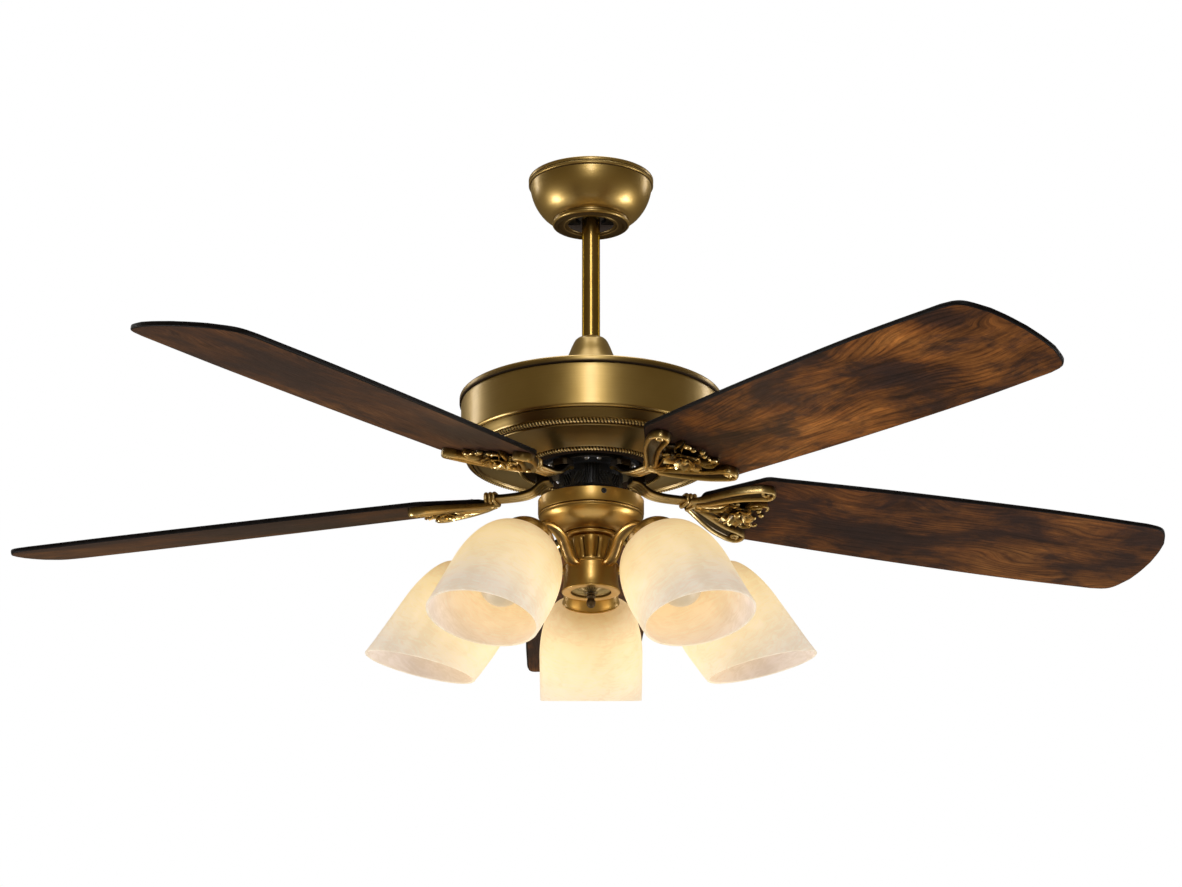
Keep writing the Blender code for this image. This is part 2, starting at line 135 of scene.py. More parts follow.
def lathe(profile, steps=96, closed=False, wear_and_shade=None):
    """The profile (radius, height) turned about Z."""
    radius, height = np.asarray(profile, float).T
    angle = np.arange(steps) * WHOLE_TURN / steps
    across, along = np.outer(radius, np.cos(angle)), np.outer(radius, np.sin(angle))
    points = np.stack([across, along, np.outer(height, np.ones(steps))], -1)
    wear_and_shade = None if wear_and_shade is None else np.asarray(wear_and_shade)[:, None]
    return grid(points, wrap_rows=closed, wrap_cols=True, wear_and_shade=wear_and_shade)


def sweep(path, section, side, wrap=False, wear_and_shade=None):
    """The section (across, outwards) carried along the path; side is the across direction at each point."""
    path = np.asarray(path, float)
    side = np.broadcast_to(np.asarray(side, float), path.shape)
    ahead = np.roll(path, -1, 0) - np.roll(path, 1, 0)
    if not wrap:
        ahead[0] = path[1] - path[0]
        ahead[-1] = path[-1] - path[-2]
    ahead /= np.linalg.norm(ahead, axis=1)[:, None]
    out = np.cross(side, ahead)
    out /= np.linalg.norm(out, axis=1)[:, None]
    section = np.broadcast_to(np.asarray(section, float), (len(path),) + np.shape(section)[-2:])
    points = path[:, None] + section[..., :1] * side[:, None] + section[..., 1:] * out[:, None]
    return grid(points, wrap_rows=wrap, wrap_cols=True, cap=not wrap, wear_and_shade=wear_and_shade)


def circle(radius, count=16, flatten=1.0):
    angle = np.arange(count) * WHOLE_TURN / count
    return np.stack([radius * np.cos(angle), radius * flatten * np.sin(angle)], 1)


def through(points, per_span=6):
    """A smooth line through the points."""
    knots = np.asarray(points, float)
    knots = np.vstack([2 * knots[0] - knots[1], knots, 2 * knots[-1] - knots[-2]])
    t = (np.arange(per_span) / per_span)[:, None]
    found = []
    for before, start, end, after in zip(knots, knots[1:], knots[2:], knots[3:]):
        found.append(
            0.5
            * (
                2 * start
                + (end - before) * t
                + (2 * before - 5 * start + 4 * end - after) * t**2
                + (3 * start - before - 3 * end + after) * t**3
            )
        )
    return np.vstack([*found, knots[-2:-1]])


def arc(centre, radii, start, end, count):
    angle = np.radians(np.linspace(start, end, count))
    return np.stack([centre[0] + radii[0] * np.cos(angle), centre[1] + radii[1] * np.sin(angle)], 1)


def bead(radius, height, size, start=90, end=-90, count=9):
    """A half-round moulding on a profile."""
    return arc((radius, height), (size, size), start, end, count)


def lathe_profile(*parts):
    return np.vstack([np.atleast_2d(np.asarray(part, float)) for part in parts])


def ends(*parts):
    """Where each part ends in the profile that they make together."""
    return np.cumsum([len(part) for part in parts])


def polar(points):
    """Each point's distance from the axis and its angle round it."""
    return np.hypot(points[:, 0], points[:, 1]), np.arctan2(points[:, 1], points[:, 0])


def screw_head(radius, height, cross=True):
    """A dome head with a driving recess."""
    angle = np.arange(32) * WHOLE_TURN / 32
    rings = np.linspace(0, 1, 9)
    across, along = np.outer(rings, np.cos(angle)), np.outer(rings, np.sin(angle))
    slot = np.minimum(abs(across), abs(along)) if cross else abs(along)
    deep = np.clip((0.24 - slot) / 0.1, 0, 1) * (rings[:, None] < 0.75)
    level = height * (np.sqrt(1.0001 - rings[:, None] ** 2) - 0.55 * deep)
    points = np.stack([across * radius, along * radius, level], -1)
    # The driving recess is darkened as painted shade.
    return joined(
        grid(points, wrap_cols=True, wear_and_shade=1 - 0.9 * deep), lathe([(radius, 0), (0, 0)], 32)
    )


def rope(radius, height, size, beads, lean=0.9, per_bead=6):
    """A rope moulding: a ring whose strands lean round it."""
    count = beads * per_bead
    angle = np.arange(count) * WHOLE_TURN / count
    around = np.arange(12) * WHOLE_TURN / 12
    phase = beads * angle[:, None] + lean * around[None]
    bulge = abs(np.cos(phase / 2)) ** 0.6
    thick = size * (0.36 + 0.64 * bulge)
    out = radius + thick * np.cos(around)
    points = np.stack(
        [out * np.cos(angle)[:, None], out * np.sin(angle)[:, None], height + thick * np.sin(around)], -1
    )
    # Wear darkens the valleys between strands as painted shade; the crests stay bright as rubbed brass.
    return grid(points, wrap_rows=True, wrap_cols=True, wear_and_shade=0.95 * bulge**2)


# Pieces


def at_height(height):
    return Matrix.Translation((0, 0, BLADE_Z + height))


def around(azimuth, radius, height):
    """A place round the axis, with its X pointing outwards."""
    return at_height(height) @ Matrix.Rotation(azimuth, 4, "Z") @ Matrix.Translation((radius, 0, 0))


def make_mesh(name, form, place, looks, face_looks=None, sharp=32):
    """A smooth-shaded mesh in the part's frame; its own coordinates stay in the attribute "local"."""
    points, faces, wear_and_shade = form
    mesh = bpy.data.meshes.new(name)
    mesh.from_pydata(points.tolist(), [], faces)
    mesh.attributes.new("local", "FLOAT_VECTOR", "POINT").data.foreach_set(
        "vector", points.astype(np.float32).ravel()
    )
    mesh.attributes.new("wear_and_shade", "FLOAT", "POINT").data.foreach_set("value", wear_and_shade.astype(np.float32))
    for look in looks:
        mesh.materials.append(look)
    if face_looks is not None:
        mesh.polygons.foreach_set("material_index", np.asarray(face_looks, np.int32))
    cleaned = bmesh.new()
    cleaned.from_mesh(mesh)
    bmesh.ops.remove_doubles(cleaned, verts=cleaned.verts, dist=MERGE_DISTANCE)
    bmesh.ops.dissolve_degenerate(cleaned, edges=cleaned.edges, dist=MERGE_DISTANCE)
    bmesh.ops.recalc_face_normals(cleaned, faces=cleaned.faces)
    cleaned.to_mesh(mesh)
    cleaned.free()
    mesh.transform(place)
    mesh.shade_smooth()
    mesh.set_sharp_from_angle(angle=math.radians(sharp))
    return mesh


def piece(name, form, look, body, nodes=(), place=None, face_looks=None, sharp=32):
    """A piece that rides on a body and stands for the CAD nodes it names."""
    looks = look if isinstance(look, (list, tuple)) else [look]
    mesh = make_mesh(name, form, at_height(0) if place is None else place, looks, face_looks, sharp)
    obj = bpy.data.objects.new(name, mesh)
    bpy.context.scene.collection.objects.link(obj)
    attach(obj, body)
    if nodes:
        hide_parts(*([nodes] if isinstance(nodes, str) else nodes))
    return obj


def turned(name, profile, steps, look, nodes, wear_and_shade=None, body="hanging"):
    """A closed profile turned about the fan's own axis."""
    return piece(name, lathe(profile, steps, True, wear_and_shade), LOOKS[look], body, nodes)


# Materials


def node(tree, kind, inputs=None, **settings):
    made = tree.nodes.new("ShaderNode" + kind)
    for key, value in settings.items():
        setattr(made, key, value)
    for key, value in (inputs or {}).items():
        if isinstance(value, bpy.types.NodeSocket):
            tree.links.new(value, made.inputs[key])
        else:
            made.inputs[key].default_value = value
    return made


def feed(shader, socket, value):
    shader.id_data.links.new(value, shader.inputs[socket])


def new_look(name, metallic, roughness, **sockets):
    look = bpy.data.materials.new(name)
    look.use_nodes = True
    shader = look.node_tree.nodes["Principled BSDF"]
    shader.inputs["Metallic"].default_value = metallic
    shader.inputs["Roughness"].default_value = roughness
    for key, value in sockets.items():
        shader.inputs[key.replace("_", " ")].default_value = value
    return look, look.node_tree, shader


def local_of(tree):
    return node(tree, "Attribute", attribute_name="local").outputs["Vector"]


def wear_and_shade_of(tree):
    return node(tree, "Attribute", attribute_name="wear_and_shade").outputs["Fac"]


def scaled(tree, vector, scale):
    return node(tree, "VectorMath", {0: vector, 1: scale}, operation="MULTIPLY").outputs[0]


def noise(tree, vector, scale, detail=3.0, roughness=0.5, distortion=0.0):
    inputs = {"Scale": scale, "Detail": detail, "Roughness": roughness, "Distortion": distortion}
    return node(tree, "TexNoise", {"Vector": vector, **inputs}).outputs[0]


def ramp(tree, factor, *stops):
    """A colour ramp through (position, colour or grey) stops."""
    made = node(tree, "ValToRGB", {0: factor})
    line = made.color_ramp
    for element, (position, _) in zip([line.elements[0], line.elements[1]], stops):
        element.position = position
    for position, _ in stops[2:]:
        line.elements.new(position)
    for element, (_, colour) in zip(line.elements, stops):
        element.color = (*colour, 1) if isinstance(colour, tuple) else (colour, colour, colour, 1)
    return made.outputs[0]


def mixed(tree, factor, first, second, blend="MIX"):
    made = node(tree, "Mix", data_type="RGBA", blend_type=blend)
    for socket, value in ((made.inputs[0], factor), (made.inputs[6], first), (made.inputs[7], second)):
        if isinstance(value, bpy.types.NodeSocket):
            tree.links.new(value, socket)
        else:
            socket.default_value = (*value, 1) if isinstance(value, tuple) else value
    return made.outputs[2]


def math_of(tree, operation, first, second=0.0, clamp=False):
    return node(tree, "Math", {0: first, 1: second}, operation=operation, use_clamp=clamp).outputs[0]


def ranged(tree, value, low, high, new_low, new_high):
    inputs = {"From Min": low, "From Max": high, "To Min": new_low, "To Max": new_high}
    return node(tree, "MapRange", {"Value": value, **inputs}).outputs[0]


def bumped(tree, shader, height, strength, distance):
    bump = node(tree, "Bump", {"Height": height, "Strength": strength, "Distance": distance})
    feed(shader, "Normal", bump.outputs[0])


def brush_coordinates(tree):
    """Coordinates that run fast across the turning marks and slowly along them."""
    split = node(tree, "SeparateXYZ", {0: local_of(tree)})
    x, y, z = split.outputs
    flat = node(tree, "CombineXYZ", {0: x, 1: y, 2: 0.0}).outputs[0]
    radius = node(tree, "VectorMath", {0: flat}, operation="LENGTH").outputs["Value"]
    drift = math_of(tree, "ADD", math_of(tree, "MULTIPLY", x, 0.022), math_of(tree, "MULTIPLY", y, 0.016))
    return node(tree, "CombineXYZ", {0: radius, 1: z, 2: drift}).outputs[0]


GOLD = (0.49, 0.338, 0.115)
OLD_GOLD = (0.40, 0.262, 0.076)
# Patina colour; at low wear it is also painted shade in hollows, grooves and insides
PATINA_AND_SHADE = (0.040, 0.026, 0.018)


def turned_brass(name, bright=GOLD, dull=OLD_GOLD, roughness=0.34, along=False):
    """Brushed and lacquered brass, a little darker in patches; along runs the brushing down a rod."""
    look, tree, shader = new_look(name, 1.0, roughness, Coat_Roughness=0.20)
    if along:
        marks = noise(tree, scaled(tree, local_of(tree), (1400.0, 1400.0, 1.5)), 1.0, 3.0, 0.6)
    else:
        marks = noise(tree, brush_coordinates(tree), 1500.0, 3.0, 0.6)
    patches = noise(tree, local_of(tree), 14.0, 3.0)
    tone = mixed(tree, ranged(tree, patches, 0.35, 0.68, 0.0, 1.0), dull, bright)
    lines = ranged(tree, marks, 0.3, 0.7, 0.0, 0.04 if along else 0.12)
    tone = mixed(tree, lines, tone, (0.18, 0.115, 0.040))
    # Low wear mixes in the patina colour: antique patina and painted shade together
    tone = mixed(tree, wear_and_shade_of(tree), PATINA_AND_SHADE, tone)
    feed(shader, "Base Color", tone)
    rough = ranged(tree, marks, 0.25, 0.75, roughness - 0.01, roughness + (0.01 if along else 0.06))
    hollow = ranged(tree, wear_and_shade_of(tree), 0.0, 0.5, 0.45, 0.0)
    feed(shader, "Roughness", math_of(tree, "ADD", rough, hollow, clamp=True))
    if along:
        shader.inputs["Specular Tint"].default_value = (0.20, 0.12, 0.04, 1.0)
    else:
        feed(shader, "Coat Weight", ranged(tree, wear_and_shade_of(tree), 0.2, 1.0, 0.0, 0.45))
        bumped(tree, shader, marks, 0.03, 0.0002)
    return look


def cast_brass(name):
    """Cast scrollwork: rubbed gold edges over a nearly black patina, which also stands for painted shade in
    the hollows.
    """
    look, tree, shader = new_look(name, 1.0, 0.30, Coat_Weight=0.2, Coat_Roughness=0.15)
    place = local_of(tree)
    grit = noise(tree, place, 420.0, 4.0, 0.6)
    cloud = noise(tree, place, 60.0, 3.0)
    edge = math_of(tree, "ADD", wear_and_shade_of(tree), ranged(tree, cloud, 0.3, 0.7, -0.05, 0.05), clamp=True)
    tone = ramp(
        tree, edge, (0.0, (0.020, 0.016, 0.014)), (0.30, (0.090, 0.062, 0.028)), (0.60, (0.36, 0.245, 0.085)),
        (1.0, (0.74, 0.55, 0.25)),
    )
    feed(shader, "Base Color", tone)
    feed(shader, "Roughness", ranged(tree, grit, 0.3, 0.7, 0.26, 0.36))
    bumped(tree, shader, grit, 0.03, 0.0002)
    return look


def metal(name, colour, roughness, metallic=1.0, grain=600.0, relief=0.08):
    look, tree, shader = new_look(name, metallic, roughness)
    place = local_of(tree)
    grit = noise(tree, place, grain, 4.0, 0.6)
    cloud = noise(tree, place, 45.0, 3.0)
    dark = tuple(0.6 * c for c in colour)
    tone = mixed(tree, ranged(tree, cloud, 0.3, 0.7, 0.0, 0.7), colour, dark)
    # Low wear darkens the colour as painted shade in recesses and grooves.
    tone = mixed(tree, wear_and_shade_of(tree), tuple(0.25 * c for c in colour), tone)
    feed(shader, "Base Color", tone)
    feed(shader, "Roughness", ranged(tree, grit, 0.3, 0.7, roughness - 0.06, roughness + 0.1))
    bumped(tree, shader, grit, relief, 0.0003)
    return look


def walnut(name, seed, painted_brightness, painted_shade_grey):
    """Dark rustic walnut print: long grain, burnt-orange clouds and a few knots. Each blade's copy gets its
    own brightening and greying: painted light and painted shade for how the lamps fall on that blade.
    """
    look, tree, shader = new_look(name, 0.0, 0.50, Specular_IOR_Level=0.12)
    shift = (seed, 0.37 * seed, 0.0)
    place = node(tree, "VectorMath", {0: local_of(tree), 1: shift}, operation="ADD").outputs[0]
    knots = node(
        tree, "TexVoronoi", {"Vector": scaled(tree, place, (5.0, 11.0, 0.0)), "Scale": 1.0, "Randomness": 1.0}
    ).outputs["Distance"]
    knot = ranged(tree, knots, 0.0, 0.30, 1.0, 0.0)
    warp = noise(tree, scaled(tree, place, (5.0, 13.0, 0.0)), 1.0, 1.5, 0.45)
    split = node(tree, "SeparateXYZ", {0: place})
    bend = math_of(tree, "MULTIPLY", warp, 0.085)
    swirl = math_of(tree, "MULTIPLY", knot, 0.022)
    across = math_of(tree, "ADD", math_of(tree, "ADD", split.outputs[1], bend), swirl)
    flow = node(tree, "CombineXYZ", {0: split.outputs[0], 1: across, 2: seed}).outputs[0]
    clouds = noise(tree, scaled(tree, flow, (5.0, 9.0, 1.0)), 1.0, 8.0, 0.62)
    blots = noise(tree, scaled(tree, place, (12.0, 24.0, 1.0)), 1.0, 8.0, 0.66, 0.3)
    streaks = noise(tree, scaled(tree, flow, (10.0, 120.0, 1.0)), 1.0, 6.0, 0.66)
    fine = noise(tree, scaled(tree, flow, (40.0, 800.0, 1.0)), 1.0, 3.0, 0.6)
    tone = ramp(
        tree, clouds, (0.38, (0.024, 0.0125, 0.0120)), (0.45, (0.046, 0.0185, 0.0110)),
        (0.50, (0.125, 0.044, 0.0120)), (0.58, (0.225, 0.082, 0.0190)), (0.68, (0.370, 0.150, 0.0370)),
    )
    tone = mixed(tree, ranged(tree, blots, 0.38, 0.50, 0.82, 0.0), tone, (0.025, 0.0130, 0.0120))
    tone = mixed(tree, ranged(tree, streaks, 0.50, 0.66, 0.0, 0.60), tone, (1.9, 1.8, 1.6), "MULTIPLY")
    tone = mixed(tree, ranged(tree, streaks, 0.34, 0.48, 0.70, 0.0), tone, (0.28, 0.24, 0.24), "MULTIPLY")
    wave = {"Scale": 0.5, "Distortion": 3.0, "Detail": 2.0, "Detail Scale": 0.4, "Detail Roughness": 0.5}
    wave["Vector"] = scaled(tree, flow, (3.0, 120.0, 1.0))
    rings = node(tree, "TexWave", wave, bands_direction="Y").outputs["Fac"]
    lines, spots = ranged(tree, rings, 0.0, 0.42, 0.9, 0.0), ranged(tree, blots, 0.46, 0.60, 0.15, 0.9)
    shown = math_of(tree, "MULTIPLY", lines, spots)
    tone = mixed(tree, shown, tone, (0.30, 0.25, 0.24), "MULTIPLY")
    # Per-blade greying and brightening: painted shade and painted light.
    tone = mixed(tree, painted_shade_grey, tone, (0.056, 0.036, 0.036))
    tone = mixed(tree, 1.0, tone, (painted_brightness, painted_brightness, painted_brightness), "MULTIPLY")
    tone = mixed(tree, ranged(tree, fine, 0.45, 0.65, 0.0, 0.40), tone, (0.016, 0.009, 0.007))
    tone = mixed(tree, ranged(tree, knots, 0.02, 0.11, 0.85, 0.0), tone, (0.009, 0.005, 0.004))
    feed(shader, "Base Color", tone)
    feed(shader, "Roughness", ranged(tree, fine, 0.3, 0.7, 0.42, 0.56))
    bumped(tree, shader, fine, 0.10, 0.0003)
    return look


def black_edge():
    look, tree, shader = new_look("blade_edge_black", 0.0, 0.50, Specular_IOR_Level=0.10)
    grit = noise(tree, local_of(tree), 260.0, 3.0)
    tone = ramp(tree, grit, (0.3, (0.003, 0.0025, 0.0030)), (0.7, (0.009, 0.007, 0.008)))
    feed(shader, "Base Color", tone)
    feed(shader, "Roughness", ranged(tree, grit, 0.3, 0.7, 0.42, 0.58))
    return look


def alabaster():
    """Pressed glass, milky and faintly marbled, lit through by its bulb, with more of that glow painted on as
    emission, brightest partway down.
    """
    glass = {"Specular_IOR_Level": 0.35, "Emission_Strength": 1.0}
    look, tree, shader = new_look("alabaster_glass", 0.0, 0.62, **glass)
    place = local_of(tree)
    swirl = noise(tree, scaled(tree, place, (18.0, 18.0, 9.0)), 1.0, 4.0, 0.6, 1.6)
    veins = noise(tree, scaled(tree, place, (46.0, 46.0, 150.0)), 1.0, 4.0, 0.6, 2.2)
    swirl, veins = math_of(tree, "MULTIPLY", swirl, 0.5), math_of(tree, "MULTIPLY", veins, 0.5)
    marble = math_of(tree, "ADD", swirl, veins)
    light = ranged(tree, marble, 0.42, 0.57, 0.0, 1.0)
    base = mixed(tree, light, (0.60, 0.540, 0.45), (0.68, 0.625, 0.55))
    feed(shader, "Base Color", base)
    depth = node(tree, "SeparateXYZ", {0: place}).outputs[2]
    down = ranged(tree, depth, 0.0, -SHADE_LENGTH, 0.0, 1.0)
    glow = ramp(
        tree, down, (0.0, (0.40, 0.265, 0.110)), (0.30, (0.66, 0.510, 0.235)), (0.62, (0.66, 0.540, 0.310)),
        (1.0, (0.46, 0.415, 0.350)),
    )
    glow = mixed(tree, light, glow, (1.12, 1.14, 1.20), "MULTIPLY")
    # The painted glow is dimmer and cooler on the inner face.
    glow = mixed(tree, wear_and_shade_of(tree), mixed(tree, 1.0, glow, (0.73, 0.70, 0.83), "MULTIPLY"), glow)
    feed(shader, "Emission Color", glow)
    feed(shader, "Roughness", ranged(tree, marble, 0.3, 0.7, 0.56, 0.70))
    bumped(tree, shader, marble, 0.10, 0.0010)
    thin = node(tree, "BsdfTranslucent", {"Color": (0.78, 0.68, 0.50, 1)}).outputs[0]
    mix = node(tree, "MixShader", {0: 0.30, 1: shader.outputs[0], 2: thin}).outputs[0]
    tree.links.new(mix, tree.nodes["Material Output"].inputs["Surface"])
    return look


def lit_bulb():
    look, tree, shader = new_look("bulb_frosted", 0.0, 0.45, Emission_Strength=0.40)
    place = local_of(tree)
    cloud = noise(tree, place, 90.0, 2.0)
    tone = ramp(tree, cloud, (0.3, (0.46, 0.40, 0.31)), (0.7, (0.52, 0.45, 0.35)))
    feed(shader, "Base Color", tone)
    depth = node(tree, "SeparateXYZ", {0: place}).outputs[2]
    down = ranged(tree, depth, 0.0, -0.083, 0.0, 1.0)
    glow = ramp(
        tree, down, (0.0, (0.06, 0.05, 0.04)), (0.35, (0.40, 0.26, 0.12)), (0.65, (0.92, 0.72, 0.42)),
        (1.0, (0.62, 0.47, 0.27)),
    )
    feed(shader, "Emission Color", glow)
    return look


def plain_look(name, colour, roughness, grain=300.0, relief=0.06):
    """A moulded or glazed surface with a slight texture."""
    return metal(name, colour, roughness, 0.0, grain, relief)


LOOKS = {
    "brass": turned_brass("antique_brass_turned"),
    # A darker copy of the brass for the housing's base: painted shade on its downward-facing underside.
    "shaded_base_brass": turned_brass("antique_brass_base_shaded", (0.30, 0.205, 0.070), (0.235, 0.155, 0.048)),
    "kit_brass": turned_brass("antique_brass_amber", (0.62, 0.385, 0.105), (0.50, 0.295, 0.070)),
    "dark_brass": turned_brass("antique_brass_shaded", (0.24, 0.165, 0.075), (0.15, 0.100, 0.045), 0.34),
    "drawn_brass": turned_brass(
        "antique_brass_drawn", (0.42, 0.275, 0.080), (0.34, 0.215, 0.055), 0.26, along=True
    ),
    "cast": cast_brass("cast_brass"),
    "edge": black_edge(),
    "glass": alabaster(),
    "bulb": lit_bulb(),
    "steel": metal("zinc_plated_steel", (0.55, 0.55, 0.56), 0.32),
    "black_metal": metal("black_enamel", (0.030, 0.031, 0.034), 0.30, 0.4),
    "nylon": plain_look("black_nylon", (0.022, 0.022, 0.024), 0.45),
    "copper": metal("varnished_windings", (0.42, 0.19, 0.09), 0.40),
    "ceramic": plain_look("glazed_ceramic", (0.80, 0.78, 0.72), 0.22),
}


# Hanging gear


def hanging_gear():
    """The ball and downrod, and the slotted screws that hold the bracket."""
    ball_low, ball_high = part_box("hanger_ball")
    radius = ball_high.x
    flat = (ball_high.z - ball_low.z) / 2
    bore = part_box("downrod")[1].x + 0.0003
    rim = math.degrees(math.asin(flat / radius))
    ball = lathe_profile((bore, flat), arc((0, 0), (radius, radius), rim, -rim, 24), (bore, -flat))
    piece(
        "hanger_ball_smooth", lathe(ball, 64, closed=True), LOOKS["nylon"], "hanging",
        "hanger_ball", Matrix.Translation((0, 0, BALL_Z)),
    )
    rod_low, rod_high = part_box("downrod")
    top, foot, outer, inner = rod_high.z - BLADE_Z, rod_low.z - BLADE_Z, rod_high.x, rod_high.x - 0.0017
    levels = np.linspace(top - 0.0006, foot + 0.0006, 12)
    wall = np.stack([np.full(12, outer), levels], 1)
    rod = lathe_profile((inner, top), (outer - 0.0005, top), wall, (outer - 0.0005, foot), (inner, foot))
    turned("downrod_tube", rod, 64, "drawn_brass", "downrod")
    for side, node_name in ((-1, "hanger_screw_left"), (1, "hanger_screw_right")):
        low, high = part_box(node_name)
        place = Matrix.Translation(((low.x + high.x) / 2, 0, high.z)) @ Matrix.Rotation(math.pi, 4, "X")
        place = place @ Matrix.Rotation(side * 0.5, 4, "Z")
        head = joined(screw_head(0.0035, 0.0024, cross=False), lathe([(0.0035, 0), (0.0035, -0.0001)], 32))
        piece(node_name + "_slotted", head, LOOKS["steel"], "ceiling_mount", node_name, place)


def canopy():
    """The bowl under the ceiling: banded rim, rolled lip and a floor that is open round the downrod."""
    band = [(0.0668, 0.3538), (0.0677, 0.3537), (0.0680, 0.3531), (0.0680, 0.3508), (0.0677, 0.3502)]
    band += [(0.0667, 0.3500), (0.0667, 0.3496), (0.0676, 0.3494), (0.0679, 0.3489), (0.0679, 0.3468)]
    band += [(0.0675, 0.3462), (0.0662, 0.3459), (0.0661, 0.3455)]
    bowl = through(
        [(0.0661, 0.3448), (0.0650, 0.3382), (0.0625, 0.3300), (0.0585, 0.3220), (0.0530, 0.3145),
         (0.0465, 0.3088), (0.0420, 0.3064)], 6,
    )
    lip = lathe_profile((0.0409, 0.3060), bead(0.0394, 0.3026, 0.0026, 55, -110, 12), (0.0366, 0.2994))
    floor = [(0.0352, 0.2998), (0.0346, 0.3004), (0.0300, 0.3006), (0.0296, 0.3000), (0.0284, 0.3000)]
    floor += [(0.0280, 0.3008), (0.0252, 0.3012), (0.0247, 0.3018), (0.0248, 0.3024), (0.0335, 0.3022)]
    inside = [(0.0366, 0.3012), (0.0392, 0.3066), (0.0454, 0.3100), (0.0519, 0.3156), (0.0573, 0.3228)]
    inside += [(0.0613, 0.3306), (0.0638, 0.3386), (0.0650, 0.3448)]
    profile = lathe_profile(band, bowl, lip, floor, inside, (0.0655, 0.3470), (0.0660, 0.3538))
    _, bowl_end, lip_end, floor_end = ends(band, bowl, lip, floor)
    # Darker wear marks the band's grooves, the lip's underside and the floor, and the inside of the bowl is
    # darkest: patina and painted shade.
    wear_and_shade = np.ones(len(profile))
    wear_and_shade[[5, 6, 11, 12]] = 0.12
    wear_and_shade[bowl_end] = 0.45
    wear_and_shade[lip_end - 4 :] = 0.16
    wear_and_shade[lip_end + 2 : lip_end + 8] = (0.30, 0.7, 0.7, 0.25, 0.35, 0.6)
    wear_and_shade[floor_end:] = 0.0
    turned("canopy_shell", profile, 160, "brass", "canopy", wear_and_shade, body="ceiling_mount")


def coupling_cover():
    """The bell that slides up the downrod."""
    crown = [(0.0103, 0.1680), (0.0104, 0.1692), (0.0109, 0.1695), (0.0134, 0.1693), (0.0152, 0.1684)]
    crown += [(0.0170, 0.1667)]
    bell = through(
        [(0.0184, 0.1645), (0.0212, 0.1582), (0.0248, 0.1490), (0.0306, 0.1370), (0.0380, 0.1250),
         (0.0424, 0.1184)]
    )
    inside = [(0.0424, 0.1179), (0.0414, 0.1179), (0.0368, 0.1250), (0.0294, 0.1370), (0.0236, 0.1490)]
    inside += [(0.0200, 0.1580), (0.0172, 0.1640), (0.0150, 0.1668), (0.0110, 0.1680)]
    profile = lathe_profile(crown, bell, inside)
    wear_and_shade = np.ones(len(profile))
    # The inside of the bell is darkened as painted shade.
    wear_and_shade[ends(crown, bell)[-1] :] = 0.1
    turned("coupling_cover_bell", profile, 112, "brass", "coupling_cover", wear_and_shade, body="coupling_cover")


# Motor


def motor():
    """The pieces inside the housing, which show through its opening and when the cover slides up."""
    shaft = [(0.0050, 0.1300), (0.0076, 0.1300), (0.0080, 0.1294), (0.0080, -0.0294), (0.0076, -0.0300)]
    shaft += [(0.0050, -0.0300)]
    turned("motor_shaft_turned", shaft, 40, "steel", "motor_shaft")
    coupling_low, coupling_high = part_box("coupling")
    top, foot, outer = coupling_high.z - BLADE_Z, coupling_low.z - BLADE_Z, coupling_high.y
    groove = outer - 0.0007
    body = [(0.0101, top), (outer - 0.0012, top), (outer, top - 0.0012), (outer, 0.1420), (groove, 0.1412)]
    body += [(groove, 0.1395), (outer, 0.1387), (outer, foot + 0.0012), (outer - 0.0012, foot)]
    body += [(0.0084, foot), (0.0084, 0.1341), (0.0101, 0.1341)]
    turned("coupling_turned", body, 56, "steel", "coupling")
    for name, low, high in (("upper_bearing", 0.0840, 0.0910), ("lower_bearing", 0.0390, 0.0460)):
        seal_top, seal_foot = high - 0.0006, low + 0.0006
        race = [(0.0083, high), (0.0096, high), (0.0098, seal_top), (0.0111, seal_top), (0.0113, high)]
        race += [(0.0126, high), (0.0126, low), (0.0113, low), (0.0111, seal_foot), (0.0098, seal_foot)]
        race += [(0.0096, low), (0.0083, low)]
        turned(name + "_races", race, 48, "steel", name)
    core = [(0.0084, 0.0720), (0.0400, 0.0720), (0.0430, 0.0815), (0.0600, 0.0820), (0.0780, 0.0815)]
    core += [(0.0800, 0.0720), (0.0884, 0.0715), (0.0884, 0.0590), (0.0800, 0.0585), (0.0780, 0.0495)]
    core += [(0.0600, 0.0490), (0.0430, 0.0495), (0.0400, 0.0600), (0.0084, 0.0600)]
    points, faces, wear_and_shade = lathe(core, 360, True)
    flat, swing = polar(points)
    coils = 0.0010 * (np.cos(18 * swing) - 1) * (flat > 0.039)
    points[:, 2] += np.where(points[:, 2] > 0.073, coils, np.where(points[:, 2] < 0.058, -coils, 0))
    piece("stator_windings", (points, faces, wear_and_shade), LOOKS["copper"], "hanging", "stator")
    case = [(0.0131, 0.0932), (0.0300, 0.0935), (0.0400, 0.0895), (0.0935, 0.0880), (0.0950, 0.0866)]
    case += [(0.0950, 0.0434), (0.0935, 0.0420), (0.0400, 0.0405), (0.0300, 0.0365), (0.0131, 0.0366)]
    inner = [(0.0131, 0.0391), (0.0292, 0.0390), (0.0392, 0.0430), (0.0925, 0.0445), (0.0925, 0.0855)]
    inner += [(0.0392, 0.0870), (0.0292, 0.0910), (0.0131, 0.0907)]
    turned("rotor_case_pressing", case + inner, 96, "steel", "rotor_case", body="rotor")


